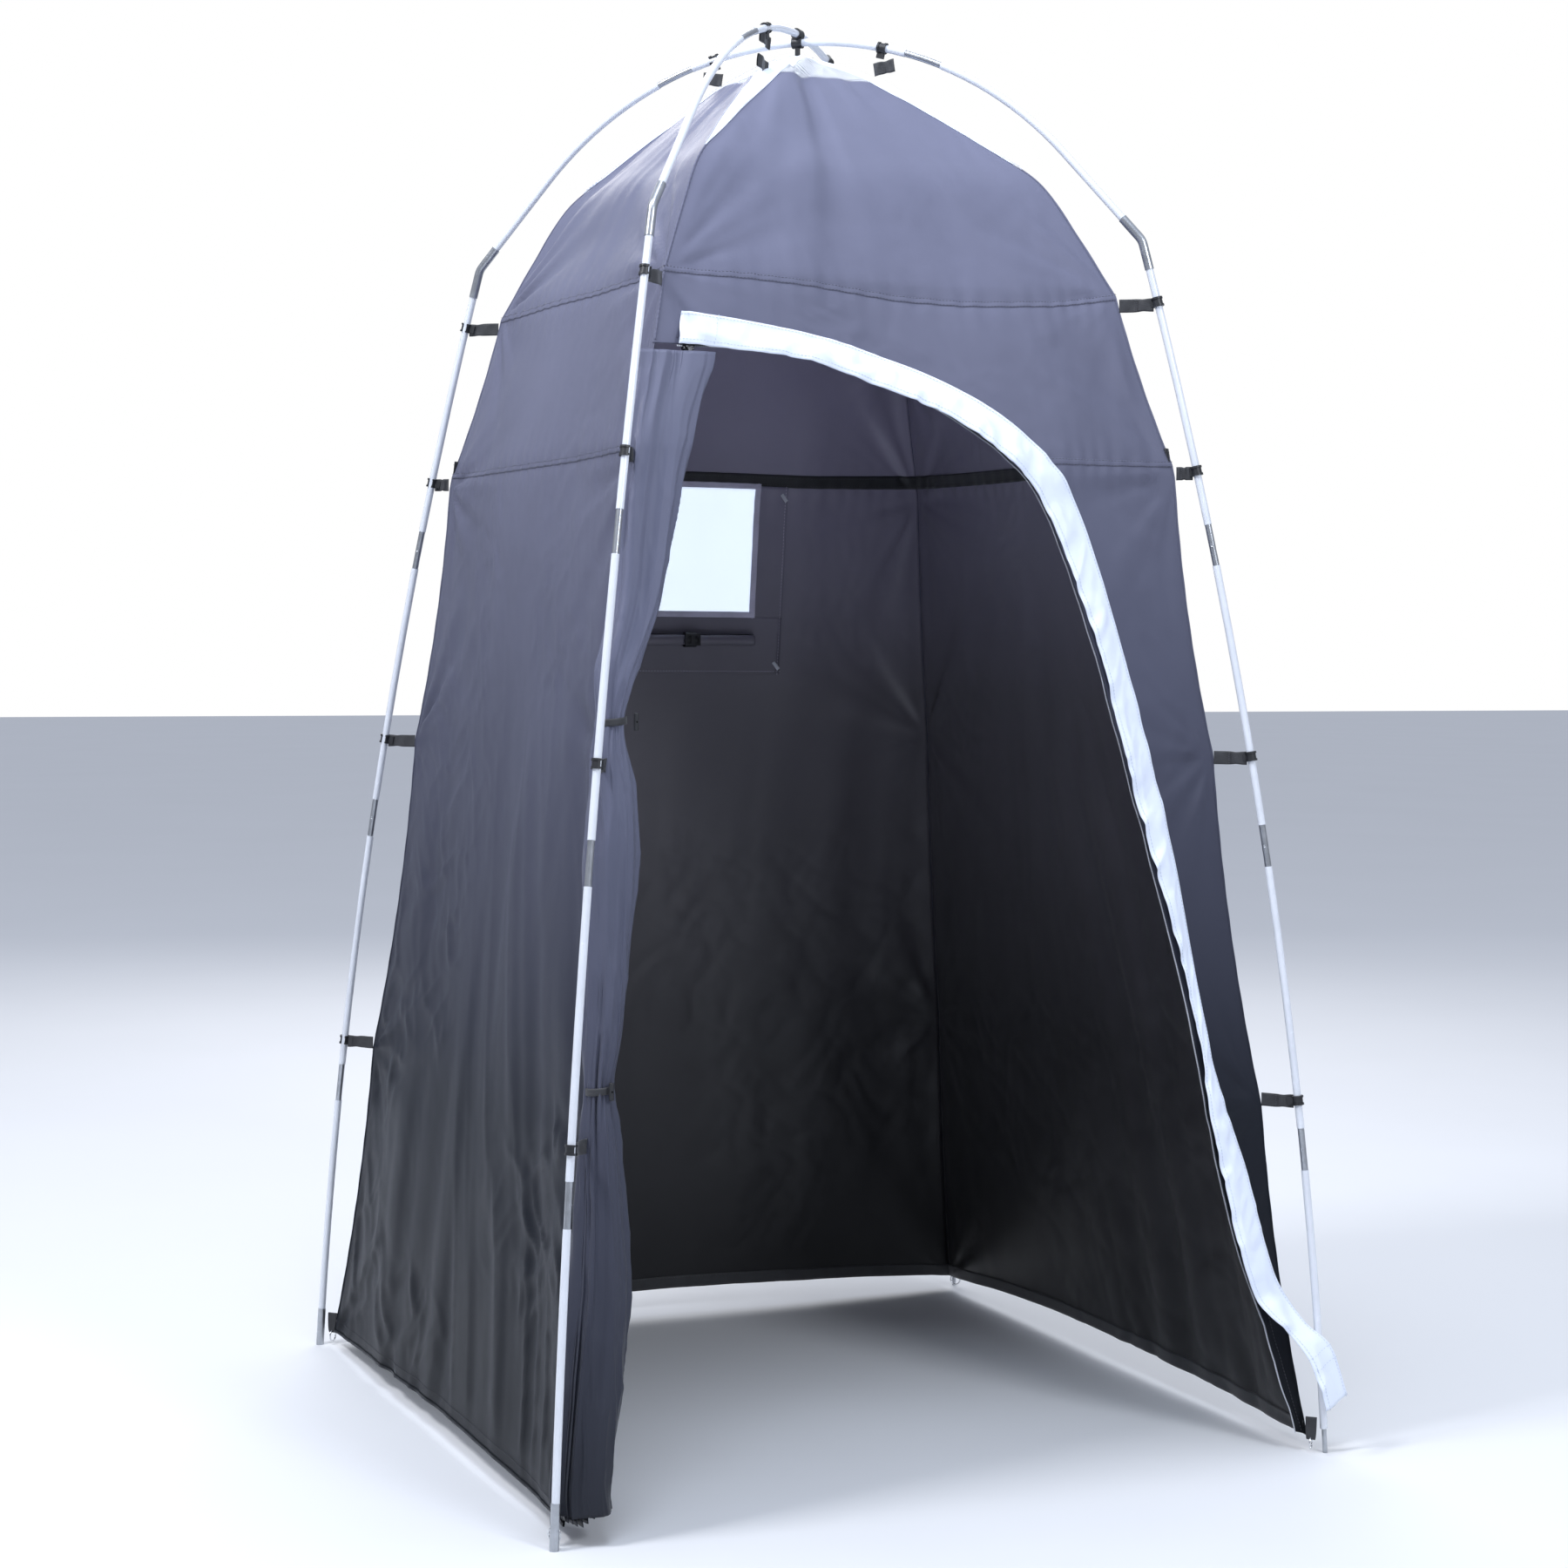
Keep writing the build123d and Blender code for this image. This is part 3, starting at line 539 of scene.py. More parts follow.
# --- the walls and the roof -------------------------------------------------------------------
# The zip, from the foot of the door up and over to its far end, as (s, z) on the front.
zip_line = spline(
    [(0.562, 0.030), (0.543, 0.105), (0.518, 0.19), (0.480, 0.295), (0.455, 0.40), (0.437, 0.50),
     (0.418, 0.62), (0.372, 0.819), (0.325, 1.002), (0.282, 1.165), (0.245, 1.283), (0.205, 1.380),
     (0.165, 1.436), (0.102, 1.487), (0.036, 1.528), (-0.04, 1.562), (-0.11, 1.584), (-0.18, 1.597),
     (-0.25, 1.600), (-0.352, 1.600), (-0.386, 1.600)], 340,
)


def wall_cloth(side, rows=300, cols=150):
    """One side's cloth from the hem to the crown's rim."""
    base = np.linspace(0, 1, rows)[:, None]
    u = np.linspace(-1, 1, cols)[None, :]
    low = hem_z + arch[side] * (1 - u**2) + 0.0015 * np.sin(u * 37 + side_seed[side])
    z = low + base * (rim_z - low)
    return on_side(side, u * panel_half(z), z)


# The window opening, a little above the CAD pane.
pane_low, pane_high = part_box("window_pane")
pane_low, pane_high = pane_low + Vector((0, 0, 0.010)), pane_high + Vector((0, 0, 0.014))
pane_x = pane_high.x

for side in ("left", "right", "back"):
    cloth = Mesh()
    points = wall_cloth(side)
    if side == "back":
        rows, cols = points.shape[:2]
        index = np.arange(rows * cols).reshape(rows, cols)
        z, s = points[:, :, 2], -points[:, :, 0]
        row_a = int(np.argmin(np.abs(z[:, cols // 2] - pane_low.z)))
        row_b = int(np.argmin(np.abs(z[:, cols // 2] - pane_high.z)))
        keep = np.ones((rows - 1, cols - 1), bool)
        edge = pane_x + 0.004
        for row in range(row_a, row_b):
            keep[row] &= ~((s[row, :-1] > -edge) & (s[row, 1:] < edge))
        cloth.add(points, quads_of(index)[keep])
    else:
        cloth.grid(points)
    piece = cloth.build(f"{side}_cloth", [outer_cloth, inner_cloth], "cabin_cloth", CLOTH_THICK)
    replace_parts(piece, f"{side}_wall_lower", f"{side}_wall_upper", f"{side}_roof")

# The front: a ruled sheet from the zip line out to the right corner and the high seam.
count = len(zip_line)
split_at = int(np.argmin(np.hypot(*(zip_line - (0.20, 1.385)).T)))  # the bend of the zip
edge_z = np.linspace(hem_z, high_z, split_at + 1)
right_edge = np.stack([corner_half(edge_z), edge_z], 1)
seam_s = np.linspace(high_half, -high_half, count - split_at)
seam_edge = np.stack([seam_s, seam_at("front", seam_s, high_z)], 1)
border = np.vstack([right_edge, seam_edge[1:]])
across = np.linspace(0, 1, 56)[None, :, None]
ruled = zip_line[:, None, :] * (1 - across) + border[:, None, :] * across
front = Mesh()
front.grid(on_side("front", ruled[..., 0], ruled[..., 1]))
front_cloth = front.build("front_cloth", [outer_cloth, inner_cloth], "cabin_cloth", CLOTH_THICK)
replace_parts(front_cloth, "front_wall_lower", "front_wall_upper")

roof = Mesh()
u = np.linspace(-1, 1, 110)[None, :]
t = np.linspace(0, 1, 60)[:, None]
base = seam_at("front", u * high_half, high_z)
z = base + t * (rim_z - base)
roof.grid(on_side("front", u * panel_half(z), z))
front_roof = roof.build(
    "front_roof_cloth", [outer_cloth, inner_cloth], "cabin_cloth", CLOTH_THICK
)
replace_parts(front_roof, "front_roof")


# --- ribbons, welts and stitches on the cloth -------------------------------------------------
def frame_of(path):
    """Unit tangent and left-hand normal along a flat path."""
    tangent = np.gradient(path, axis=0)
    tangent /= np.linalg.norm(tangent, axis=1)[:, None] + 1e-9
    return tangent, np.stack([-tangent[:, 1], tangent[:, 0]], 1)


def ribbon(mesh, side, path, width, lift, thick, crown=0.0, cols=7):
    """A flat band of some thickness that follows a path on a side's cloth."""
    _, normal = frame_of(path)
    w = np.linspace(-0.5, 0.5, cols)
    flat = path[:, None, :] + normal[:, None, :] * (w * width)[None, :, None]
    outer = lift + thick + crown * (1 - (2 * w) ** 2)[None, :]
    top = on_side(side, flat[..., 0], flat[..., 1], outer)
    low = on_side(side, flat[..., 0], flat[..., 1], lift)
    mesh.grid(np.concatenate([top, low[:, ::-1]], 1)[:, ::-1], wrap=True)


def stitches(mesh, side, path, lift):
    """A run of small stitches along a path on a side's cloth."""
    spots = even(path, max(3, int(path_length(path) / STITCH_STEP)))
    tangent, _ = frame_of(spots)
    ends = [on_side(side, *(spots + tangent * k * STITCH_HALF).T, lift) for k in (-1, 1)]
    beads(mesh, *ends, STITCH_SIZE)


def stitches_at(mesh, spots):
    """A run of small stitches centred on evenly spaced points."""
    way = np.gradient(spots, axis=0)
    way /= np.linalg.norm(way, axis=1)[:, None]
    beads(mesh, spots - way * STITCH_HALF, spots + way * STITCH_HALF, STITCH_SIZE)


def beads(mesh, start, end, size):
    """Four-sided spindles between pairs of points."""
    axis = end - start
    axis /= np.linalg.norm(axis, axis=1)[:, None] + 1e-12
    guide = np.where(np.abs(axis[:, 2:3]) > 0.9, [[1.0, 0, 0]], [[0, 0, 1.0]])
    a = np.cross(axis, guide)
    a /= np.linalg.norm(a, axis=1)[:, None] + 1e-12
    b = np.cross(axis, a)
    rings = []
    for t in (0.22, 0.78):
        middle = start * (1 - t) + end * t
        for angle in (45, 135, 225, 315):
            turned = math.radians(angle)
            rings.append(middle + size * (a * math.cos(turned) + b * math.sin(turned)))
    points = np.stack([start, *rings, end], 1)
    faces = [(0, 1 + k, 1 + (k + 1) % 4) for k in range(4)]
    faces += [(1 + k, 5 + k, 5 + (k + 1) % 4, 1 + (k + 1) % 4) for k in range(4)]
    faces += [(9, 5 + (k + 1) % 4, 5 + k) for k in range(4)]
    mesh.points.append(points.reshape(-1, 3))
    for _ in start:
        mesh.faces.extend([[mesh.count + corner for corner in face] for face in faces])
        mesh.count += points.shape[1]


def seam_path(side, z, step=0.007):
    """A path along a seam of one side, from corner to corner."""
    s = np.linspace(-1.0, 1.0, int(1.0 / step))
    s = s * corner_half(np.full_like(s, z))
    return np.stack([s, seam_at(side, s, z)], 1)


def hem_path(side, rise, step=0.008):
    """A path along the hem of one side, at some height above its edge."""
    u = np.linspace(-1, 1, int(1.15 / step))
    s = u * corner_half(np.full_like(u, hem_z + rise))
    return np.stack([s, hem_z + rise + arch[side] * (1 - u**2)], 1)


# Seams and seam tapes of all four sides, and hems of all but the front; the front's low seam starts
# beside the zip.
zip_low_x = float(np.interp(low_z, zip_line[:300, 1], zip_line[:300, 0]))
welts, seams, tapes, hems = Mesh(), Mesh(), Mesh(), Mesh()
for side in sides:
    for z in (low_z, high_z):
        at_zip = side == "front" and z == low_z
        path = seam_path(side, z)
        if at_zip:
            path = path[path[:, 0] > zip_low_x + 0.02]
        ribbon(welts, side, path, width=0.009, lift=0.0, thick=0.0006, crown=0.0007)
        for shift in (-0.0034, 0.0034):
            stitches(seams, side, path + [0, shift], lift=0.0011)
        rise, tape_width = (0.013, 0.022) if z == low_z else (-0.009, 0.015)
        inside = path + [0, rise]
        if at_zip:
            inside = inside[inside[:, 0] > zip_low_x + 0.04]
        ribbon(tapes, side, inside, tape_width, lift=-0.0022, thick=0.0011)
        for shift in (-0.006, 0.006):
            stitches(seams, side, inside + [0, shift], lift=-0.0025)
    if side != "front":
        ribbon(hems, side, hem_path(side, 0.010), width=0.020, lift=-0.0022, thick=0.0012)
        edging = hem_path(side, 0.001)
        ribbon(welts, side, edging, width=0.005, lift=-0.0012, thick=0.0022, crown=0.0006)
        for lift in (0.0006, -0.0026):
            stitches(seams, side, hem_path(side, 0.018), lift)
welts.build("seam_welts", [outer_cloth], "cabin_cloth")
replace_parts(tapes.build("seam_tape_bands", [webbing], "webbing"), "seam_tapes")
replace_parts(hems.build("hem_bands", [webbing], "webbing"), "hem_tape")

# Corner piping: a thin rolled seam down each corner, from the band tips to the hem, and at the
# door's corner only to the top of the zip.
piping = Mesh()
piping_size, door_top_z = 0.0016, 1.605
tip_z = float(np.interp(-tip_half, -outline[:, 0], outline[:, 1]))
angles = np.linspace(0, FULL_TURN, 8, endpoint=False)[None, :, None]
for x, y in CORNERS:
    z = np.linspace(door_top_z if (x, y) == (-1, -1) else hem_z, tip_z, 300)
    b = corner_half(z) - 0.0002
    out = np.array([x, y, 0]) / math.sqrt(2)
    side_way = np.array([-y, x, 0]) / math.sqrt(2)
    centre = np.stack([x * b, y * b, z], 1)
    wobble = 1 + 0.15 * np.sin(z * 900)
    round_it = np.cos(angles) * out + np.sin(angles) * side_way
    piping.grid(centre[:, None, :] + piping_size * wobble[:, None, None] * round_it, wrap=True)
piping.build("corner_piping", [outer_cloth], "cabin_cloth")

# --- ridge bands and the mesh crown -----------------------------------------------------------
# Each band is half on one side and half on the next, and the two halves meet on the ridge.
bands, band_seams = Mesh(), Mesh()
band_z = np.r_[np.linspace(tip_z, rim_z, 60), np.linspace(rim_z, top_z - 0.002, 30)[1:]]
limit = np.where(band_z <= rim_z, panel_half(band_z), gore_half(band_z))
limit[0] = corner_half(band_z[0]) - 0.0005
neighbours = {"front": "right", "right": "back", "back": "left", "left": "front"}
w = np.linspace(0, 1, 12)
corner = half(band_z)
z_grid = np.repeat(band_z[:, None], len(w), 1)
belly = ((1 - w) * w * 4)[None, :]
for side, other in neighbours.items():
    s_one = limit[:, None] * (1 - w) + corner[:, None] * w
    s_one = s_one - 0.004 * (1 - w)[None, :] * smooth((band_z[:, None] - tip_z) / 0.05)
    lift = 0.0012 + 0.0016 * noise(s_one / 0.02, z_grid / 0.05, side_seed[side]) * belly
    one = on_side(side, s_one, z_grid, lift)
    two = on_side(other, -s_one, z_grid, lift)[:, ::-1]
    one[:, -1] = two[:, 0] = (one[:, -1] + two[:, 0]) / 2
    bands.grid(np.concatenate([one, two[:, 1:]], 1))
    line = np.stack([s_one[2:-6, 1], band_z[2:-6]], 1)
    stitches(band_seams, side, line, lift=0.003)
    stitches(band_seams, other, line * [-1, 1], lift=0.003)
bands = bands.build("ridge_band_cloth", [pale_cloth], "pale_cloth", PALE_THICK)
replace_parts(bands, "ridge_bands")
band_seams.build("band_stitching", [pale_thread], "pale_cloth")

net = Mesh()
net_pitch, net_width, net_thick = 0.0036, 0.00055, 0.0005
for side in sides:
    for k in range(-20, 21):
        s = k * net_pitch
        z = np.linspace(rim_z - 0.004, top_z - 0.004, 26)
        z = z[gore_half(z) + 0.004 > abs(s)]
        if len(z) > 2:
            path = np.stack([np.full_like(z, s), z], 1)
            ribbon(net, side, path, net_width, 0.0, net_thick, cols=2)
    for z in np.linspace(rim_z - 0.002, top_z - 0.006, 24):
        reach = float(gore_half(z)) + 0.003
        if reach > 0.008:
            s = np.linspace(-reach, reach, 16)
            path = np.stack([s, np.full_like(s, z)], 1)
            ribbon(net, side, path, net_width, 0.0003, net_thick, cols=2)
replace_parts(net.build("crown_net", [net_thread], "mesh"), "crown_mesh")

# --- storm flap -------------------------------------------------------------------------------
# Its outer and inner edges as (s, z) on the front, from the foot of the door upward.
flap_count = 420
flap_outer = spline(
    [(0.622, 0.088), (0.600, 0.160), (0.566, 0.200), (0.530, 0.291), (0.496, 0.423),
     (0.468, 0.503), (0.440, 0.624), (0.417, 0.767), (0.394, 0.898), (0.375, 0.978),
     (0.342, 1.112), (0.303, 1.255), (0.260, 1.382), (0.222, 1.445), (0.150, 1.510),
     (0.063, 1.559), (-0.017, 1.590), (-0.100, 1.614), (-0.154, 1.625), (-0.233, 1.636),
     (-0.339, 1.647)], flap_count,
)
flap_inner = spline(
    [(0.575, 0.070), (0.560, 0.134), (0.540, 0.175), (0.505, 0.216), (0.474, 0.295),
     (0.451, 0.414), (0.433, 0.500), (0.421, 0.625), (0.372, 0.819), (0.322, 1.002),
     (0.279, 1.175), (0.242, 1.283), (0.202, 1.380), (0.166, 1.431), (0.103, 1.479),
     (0.038, 1.518), (-0.069, 1.556), (-0.158, 1.584), (-0.279, 1.594), (-0.352, 1.597)],
    flap_count,
)
w = np.linspace(0, 1, 16)[None, :]
flat = flap_outer[:, None, :] * (1 - w[..., None]) + flap_inner[:, None, :] * w[..., None]
along = np.linspace(0, path_length(flap_outer), flap_count)[:, None]
ripple = 0.0032 * noise(along / 0.021, w * 1.6, 5)
ripple = ripple + 0.0022 * ridge(along / 0.034 + w * 0.8, w * 1.2, 6)
ripple = ripple + 0.003 * noise(along / 0.09, w * 0.8, 3)
lift = 0.0016 + 0.0085 * smooth(w * 1.3)
lift = lift + np.maximum(ripple, -0.0012 - 0.004 * w) * smooth(w * 2.2 + 0.1)
flap_points = on_side("front", flat[..., 0], flat[..., 1], lift)
flare = smooth((0.20 - along) / 0.14)  # the free end stands out in front of the foot
flap_points[..., 1] -= flare * 0.046
flap_points[..., 0] += flare * 0.004
flap = Mesh()
flap.grid(flap_points[:, ::-1])
flap = flap.build("storm_flap_cloth", [pale_cloth], "pale_cloth", PALE_THICK)
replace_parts(flap, "storm_flap")

flap_seams = Mesh()
proud = np.array([0, -0.0007, 0])
for col in (1, 13):
    line = flap_points[:, col] + proud
    stitches_at(flap_seams, even(line, int(path_length(line) / STITCH_STEP)))
for row in (12, 16, 408):
    line = flap_points[row] + proud
    stitches_at(flap_seams, even(line, max(6, int(path_length(line) / 0.005))))
flap_seams.build("flap_stitching", [pale_thread], "pale_cloth")

# --- zip: tape behind the opening's edge, and the coil along it -------------------------------
zip_shown = zip_line[zip_line[:, 0] > -0.352]
tape_mesh, coil_mesh = Mesh(), Mesh()
_, normal = frame_of(zip_shown)
tape_path = zip_shown - normal * 0.005
ribbon(tape_mesh, "front", tape_path, width=0.014, lift=-0.0022, thick=0.0008)
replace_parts(tape_mesh.build("zip_tape_band", [webbing], "webbing"), "zip_tape")
stitches(seams, "front", zip_shown - normal * 0.009, lift=0.0004)
coil_pitch, coil_size = 0.0022, 0.0009
teeth = even(zip_shown, int(path_length(zip_shown) / coil_pitch))
_, across_teeth = frame_of(teeth)
start = on_side("front", *(teeth + across_teeth * 0.0006).T, -0.0012)
end = on_side("front", *(teeth + across_teeth * 0.0042).T, 0.0004)
beads(coil_mesh, start, end, coil_size)
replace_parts(coil_mesh.build("zip_coil_turns", [coil_nylon], "zip_coil"), "zip_coil")
seams.build("stitching", [thread], "cabin_cloth")

# --- the open door, gathered along the front left corner --------------------------------------
tie_z = (0.59, 1.08)  # heights of the two ties
bundle_z = np.linspace(0.034, 1.590, 300)


def along_bundle(rows):
    """A measure down the bundle from (height, value) rows, without sharp bends."""
    heights, values = np.array(rows).T
    step = 9
    padded = np.pad(np.interp(bundle_z, heights, values), step // 2, mode="edge")
    return np.convolve(padded, np.ones(step) / step, "valid")


# The x of the bundle's right side, and its half-width and half-depth.
right_edge = along_bundle([
    (0.03, -0.508), (0.058, -0.512), (0.313, -0.479), (0.395, -0.481), (0.54, -0.487),
    (0.593, -0.494), (0.654, -0.476), (0.753, -0.461), (0.853, -0.449), (0.919, -0.444),
    (0.998, -0.446), (1.08, -0.459), (1.229, -0.397), (1.405, -0.354), (1.497, -0.326),
    (1.585, -0.290),
])
reach_x = along_bundle([
    (0.03, 0.036), (0.3, 0.037), (0.54, 0.023), (0.59, 0.0150), (0.65, 0.023), (0.9, 0.032),
    (1.03, 0.024), (1.08, 0.0150), (1.14, 0.029), (1.4, 0.044), (1.585, 0.056),
])
reach_y = along_bundle([
    (0.03, 0.030), (0.3, 0.028), (0.54, 0.020), (0.59, 0.0145), (0.65, 0.020), (0.9, 0.026),
    (1.03, 0.020), (1.08, 0.0145), (1.14, 0.021), (1.4, 0.017), (1.585, 0.009),
])
centre_x = right_edge - reach_x * 1.1
centre_y = -half(bundle_z) - 0.003 + np.interp(bundle_z, [1.3, 1.6], [0.0, 0.004])
clear = 0.0018 * np.exp(-(((bundle_z - tie_z[0]) / 0.06) ** 2))  # room for the lower toggle
centre_y = centre_y + clear
zz = bundle_z[:, None]

# Most of the cloth lies in folds, stacked from the left of the bundle to its right.
v = np.linspace(0, 1, 420)[None, :]
folds, stack_reach = 25.0, 0.86
stack = np.cos(math.pi * (1 - v)) * stack_reach
wander = 0.9 * noise(v * 3.0, zz / 0.5, 2) + 0.35 * noise(v * 9, zz / 0.22, 4)
depth = np.sin(math.pi * folds * v + wander)
depth = depth * np.sqrt(np.clip(stack_reach**2 - stack**2, 0.02, 1))
depth = depth * (0.86 + 0.14 * noise(v * folds, zz / 0.3, 3))

# The last stretch of the cloth wraps round the front of the folds, back to the corner.
turn_at = np.linspace(0, -math.radians(215), 120)[None, :]
pinch = sum(np.exp(-np.abs(zz - z) / 0.07) for z in tie_z)
swell = 1.10 + 0.22 * (1 - 0.7 * pinch) * noise(turn_at * 1.3 + 4, zz / 0.40, 6)
swell = swell + 0.20 * ridge(turn_at * 1.7 + 0.6 * noise(zz / 0.3, zz * 0, 2), zz / 0.80, 2) - 0.08
swell = swell + 0.26 * pinch * (noise(turn_at * 4.2, zz / 0.16, 3) - 0.2)
swell = swell + 0.05 * ridge(turn_at * 2.4 + zz / 0.12, zz / 0.08, 1)
wrap_x, wrap_y = swell * np.cos(turn_at), swell * np.sin(turn_at)
join = np.linspace(0, 1, 8)[None, 1:-1]
bridge_x = stack[:, -1:] * (1 - join) + wrap_x[:, :1] * join
bridge_y = depth[:, -1:] * (1 - join) + wrap_y[:, :1] * join
share_x = np.concatenate([stack + 0 * depth, bridge_x, wrap_x], 1)
share_y = np.concatenate([depth, bridge_y, wrap_y], 1)
v = np.linspace(0, 1, share_x.shape[1])[None, :]

# Only the outside of that stretch has the long drapes; they are nothing elsewhere.
hidden = [0 * depth, 0 * bridge_x]
outside = np.concatenate([*hidden, np.clip(-np.sin(turn_at), 0, 1) + 0 * wrap_x], 1)
turned = np.concatenate([*hidden, turn_at + 0 * wrap_x], 1)
drape = noise(turned * 1.9, zz / 0.55, 7) + 0.7 * noise(turned * 3.7 + 2, zz / 0.40, 1)
drape = drape + 0.5 * ridge(turned * 2.3 + zz / 0.7, zz / 0.3, 3)
drape_height, crinkle = 0.0036, 0.0006
px = centre_x[:, None] + reach_x[:, None] * share_x + crinkle * noise(v * 40, zz / 0.05, 5)
py = centre_y[:, None] - drape_height * outside * drape + reach_y[:, None] * share_y
py = py + crinkle * noise(v * 31, zz / 0.04, 6)
sag = 0.008 * smooth((0.1 - zz) / 0.08) * noise(v * 6, zz * 0, 1)
door = Mesh()
door.grid(np.stack([px, py, zz + sag + 0 * px], -1))
door = door.build("door_cloth", [door_painted_shade, door_painted_shade], "cabin_cloth", THIN_CLOTH, 0.0)
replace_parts(door, "door_bundle")

ties = Mesh()
angles = np.linspace(0, FULL_TURN, 48, endpoint=False)
for z in tie_z:
    row = int(np.argmin(np.abs(bundle_z - z)))
    rx, ry = reach_x[row] + 0.0018, reach_y[row] + 0.0018
    loop_x, loop_y = centre_x[row] + rx * np.cos(angles), centre_y[row] + ry * np.sin(angles)
    rings = [
        np.stack([loop_x, loop_y, np.full(48, z + dz) + 0.002 * np.cos(angles)], 1)
        for dz in np.linspace(-0.005, 0.005, 5)
    ]
    ties.grid(np.stack(rings)[:, ::-1], wrap=True)
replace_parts(ties.build("door_tie_bands", [webbing], "webbing", 0.0014), "door_ties")

# --- straps from the hooks to the corners -----------------------------------------------------
strap_mesh, strap_seams = Mesh(), Mesh()
strap_half, strap_thick = 0.0098, 0.0014
lap_row = 22  # the strap is doubled from this row to the hook
strap_points = np.array([v.co[:] for v in nodes["hook_straps"].data.vertices])
for x, y in CORNERS:
    mine = strap_points[(strap_points[:, 0] * x > 0) & (strap_points[:, 1] * y > 0)]
    mine = mine[np.argsort(mine[:, 2])]
    cuts = np.where(np.diff(mine[:, 2]) > 0.03)[0] + 1
    for group in np.split(mine, cuts):
        r = np.hypot(group[:, 0], group[:, 1])
        middle_r = (r.max() + r.min()) / 2
        outer_end, inner_end = group[r > middle_r].mean(0), group[r < middle_r].mean(0)
        run = outer_end - inner_end
        length = np.linalg.norm(run)
        run /= length
        flat_way = np.cross(run, [0, 0, 1.0])
        flat_way /= np.linalg.norm(flat_way)
        up = np.cross(flat_way, run)
        t = np.linspace(-0.10, 1.0 + 0.012 / length, 40)
        width = strap_half * (1 - 0.10 * np.exp(-(((t - 0.9) / 0.2) ** 2)))
        cross = np.linspace(-1, 1, 9)
        bow = 0.0014 * np.sin(t * 5 + inner_end[2] * 9)
        middle = inner_end + run * (t * length)[:, None] + flat_way * bow[:, None]
        crown = strap_thick / 2 * (1 - cross**2) * np.sin(t * 9)[:, None]
        rows = middle[:, None] + up * (width[:, None] * cross)[..., None]
        rows = rows + flat_way * crown[..., None]
        faces = [(rows, strap_thick / 2, -strap_thick / 2), (rows[lap_row:], 0.0017, 0.0005)]
        for part, top, low in faces:
            both = [part + flat_way * top, (part + flat_way * low)[:, ::-1]]
            strap_mesh.grid(np.concatenate(both, 1), wrap=True)
        for share in (0.56, 0.62):
            k = int(np.argmin(np.abs(t - share)))
            line = even(rows[k, [1, 7]] + flat_way * 0.0027, 6)
            beads(strap_seams, line - up * 0.001, line + up * 0.001, 0.0004)
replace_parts(strap_mesh.build("strap_webbing", [webbing], "webbing"), "hook_straps")
strap_seams.build("strap_stitching", [thread], "webbing")

# --- corner webbing ends that hold the peg rings ----------------------------------------------
leaf = Mesh()
up = np.array([0, 0, 1.0])
t = np.linspace(0, FULL_TURN, 40, endpoint=False)
tall = 0.5 - 0.5 * np.cos(t)
open_way = 0.0026 * np.sin(t) * (1 - 0.55 * tall)
wide = np.linspace(-1, 1, 7) * (0.0062 + 0.002 * np.sin(t / 2))[:, None]
for x, y in CORNERS:
    diagonal = np.array([x, y, 0]) / math.sqrt(2)
    normal_way = np.array([y, -x, 0]) / math.sqrt(2)
    hang = diagonal * 0.829 + normal_way * 0.009 + up * 0.024
    loop = hang + up * (tall * 0.032 - 0.0034)[:, None] + normal_way * open_way[:, None]
    rows = loop[:, None] + diagonal * wide[..., None]
    leaf.grid(np.swapaxes(rows, 0, 1), wrap=True)
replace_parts(leaf.build("peg_webbing", [webbing], "webbing", 0.0011), "corner_webbing")


# --- back window ------------------------------------------------------------------------------
def net_of(x0, x1, z0, z1, count):
    """A grid of (s, z) places between two corners."""
    return np.meshgrid(np.linspace(x0, x1, count), np.linspace(z0, z1, count))


lap = 0.006
spread = net_of(-pane_x - lap, pane_x + lap, pane_low.z - lap, pane_high.z + lap, 60)
pane = Mesh()
pane.grid(on_side("back", *spread, -0.0016))
pane = pane.build("window_film", [film], "clear_film", 0.0004)
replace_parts(pane, "window_pane")

pane_corners = [
    (-pane_x, pane_low.z), (pane_x, pane_low.z), (pane_x, pane_high.z), (-pane_x, pane_high.z)
]
binding, outer_binding, window_seams = Mesh(), Mesh(), Mesh()
past = 0.005
for (ax, az), (bx, bz) in zip(pane_corners, pane_corners[1:] + pane_corners[:1]):
    length = math.hypot(bx - ax, bz - az)
    ux, uz = (bx - ax) / length * past, (bz - az) / length * past
    line = np.linspace((ax - ux, az - uz), (bx + ux, bz + uz), 40)
    ribbon(binding, "back", line, width=0.010, lift=-0.0034, thick=0.0016)
    ribbon(outer_binding, "back", line, width=0.011, lift=0.0002, thick=0.0008)
    stitches(window_seams, "back", line, lift=-0.0038)
binding = binding.build("window_edge_binding", [binding_cloth], "binding_cloth")
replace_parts(binding, "window_binding")
outer_binding.build("window_outer_binding", [outer_cloth], "cabin_cloth")

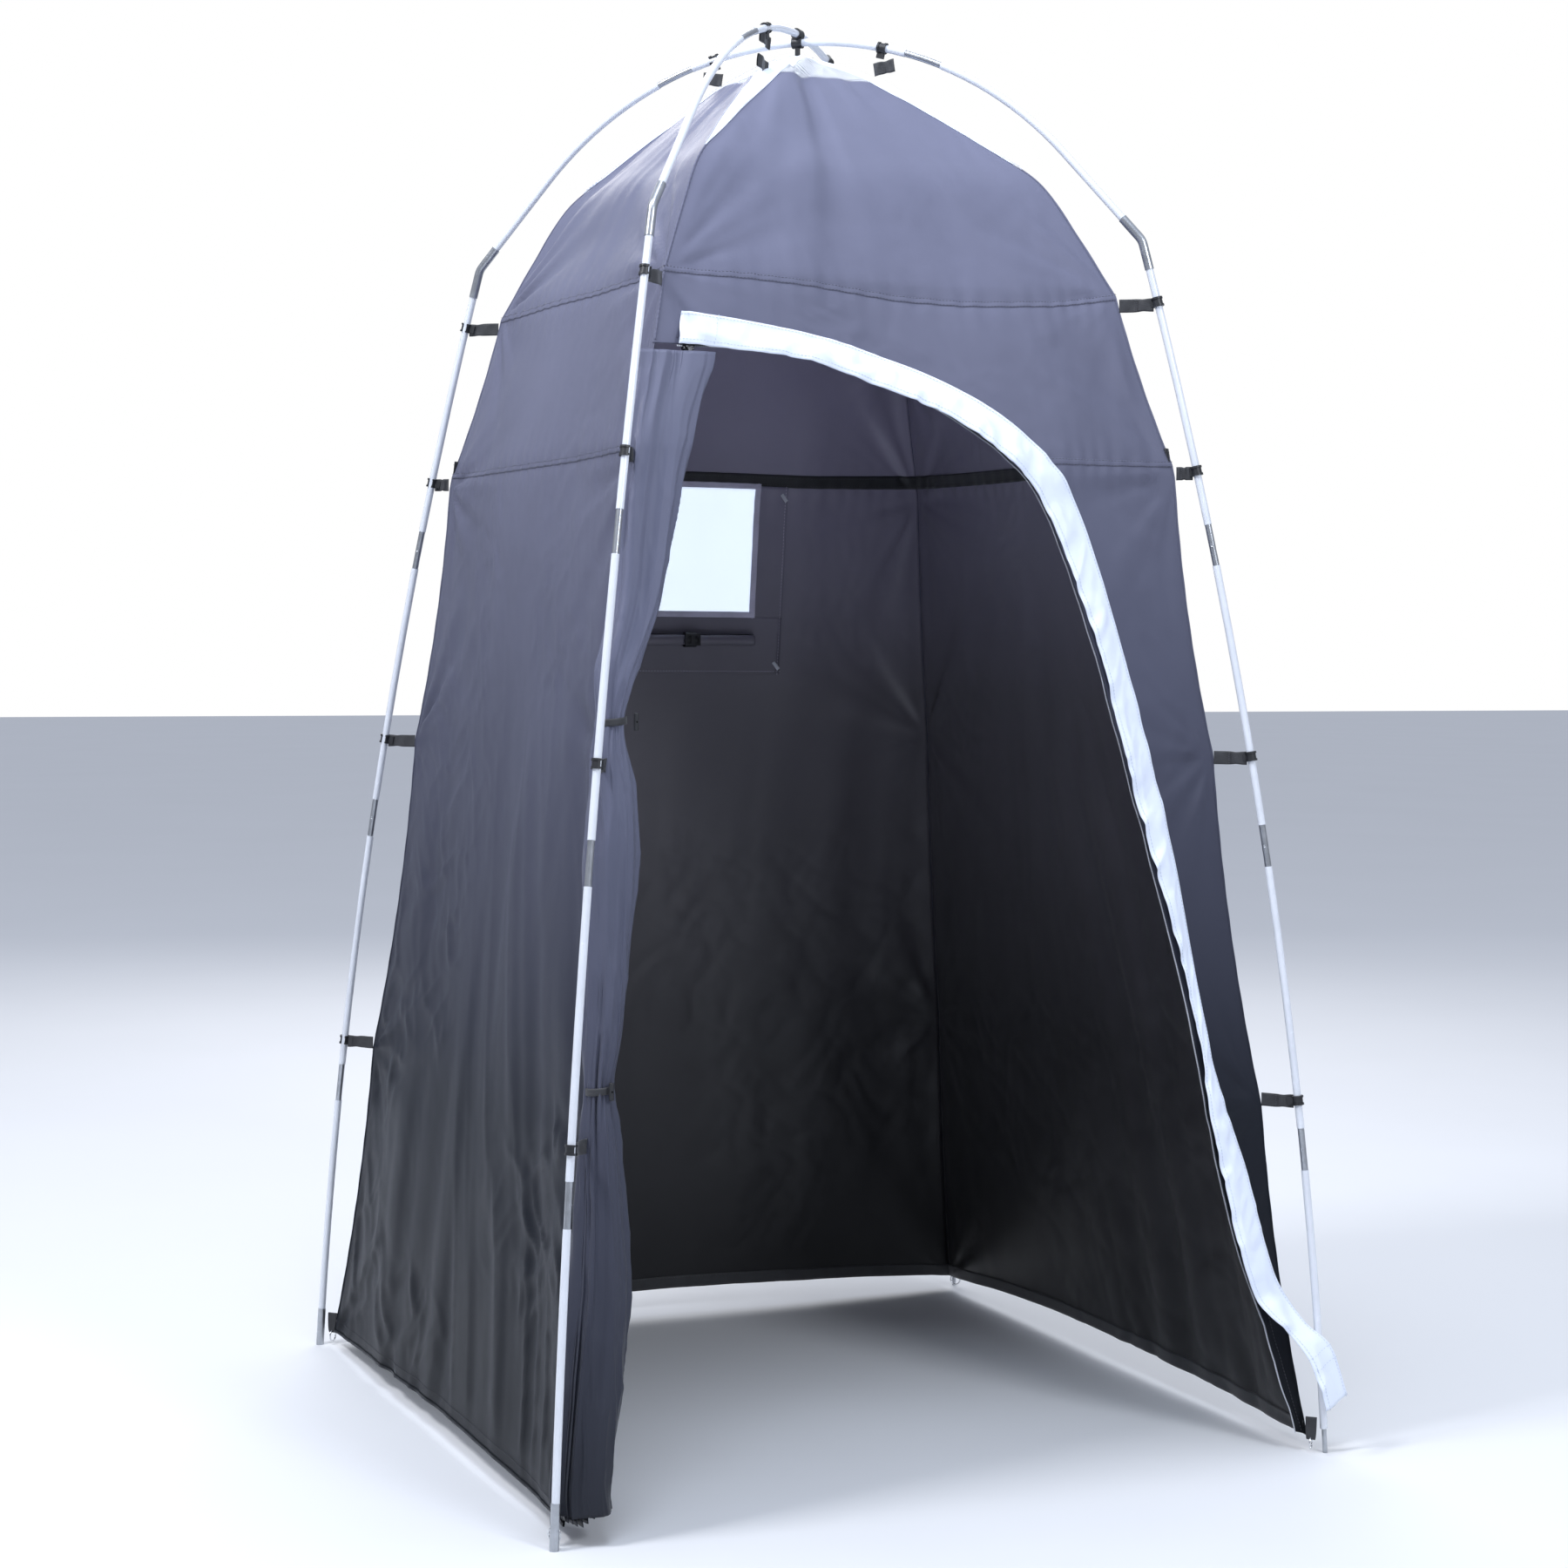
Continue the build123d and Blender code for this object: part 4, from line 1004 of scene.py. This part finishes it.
# The patch round the opening, below it and at its two sides.
patch_low, patch_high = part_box("window_surround")
reach, foot, edge = patch_high.x, pane_low.z - 0.004, pane_x + 0.004
surround = Mesh()
for part in (
    (-reach, reach, patch_low.z, foot),
    (-reach, -edge, foot, patch_high.z),
    (edge, reach, foot, patch_high.z),
):
    surround.grid(on_side("back", *net_of(*part, 40), -0.0024))
surround = surround.build("window_patch", [inner_cloth], "cabin_cloth", 0.0008)
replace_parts(surround, "window_surround")
patch_edge = np.array([
    (-reach, patch_high.z), (-reach, patch_low.z), (reach, patch_low.z), (reach, patch_high.z)
])
patch_middle = np.array([0, 1.3])
for a, b in zip(patch_edge, patch_edge[1:]):
    inset = np.sign(patch_middle - (a + b) / 2) * np.where(a == b, 0.004, 0)
    stitches(window_seams, "back", np.linspace(a, b, 60) + inset, lift=-0.0038)
window_seams.build("window_stitching", [binding_cloth], "cabin_cloth")

tabs = Mesh()
for x in (-0.160, 0.160):
    for z in (1.148, 1.435):
        line = np.linspace((x, z + 0.007), (x + 0.010 * np.sign(x), z - 0.005), 10)
        ribbon(tabs, "back", line, width=0.006, lift=-0.0052, thick=0.0012)
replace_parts(tabs.build("curtain_tab_loops", [tag_cloth], "pale_cloth"), "curtain_tabs")

# The rolled curtain: one sheet wound in a spiral, squeezed in the middle by its buckle.
roll_low, roll_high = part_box("window_curtain")
roll = Mesh()
x = np.linspace(roll_low.x, roll_high.x, 60)[:, None]
t = np.linspace(0, 1, 160)[None, :]
radius, turns = (roll_high.z - roll_low.z) / 2, 3.2
spiral = radius * (1 - 0.62 * t) * (1 + 0.05 * noise(x / 0.03, t * 12, 3)) - THIN_CLOTH
squeeze = 1 - 0.14 * np.exp(-((x / 0.02) ** 2))
angle = -FULL_TURN * turns * t + math.pi / 2
cy, cz = (roll_low.y + roll_high.y) / 2, (roll_low.z + roll_high.z) / 2
rows = (x + 0 * t, cy + spiral * squeeze * np.cos(angle), cz + spiral * squeeze * np.sin(angle))
roll.grid(np.stack(rows, -1))
roll = roll.build("curtain_roll", [inner_cloth, inner_cloth], "cabin_cloth", THIN_CLOTH, 0.0)
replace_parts(roll, "window_curtain")
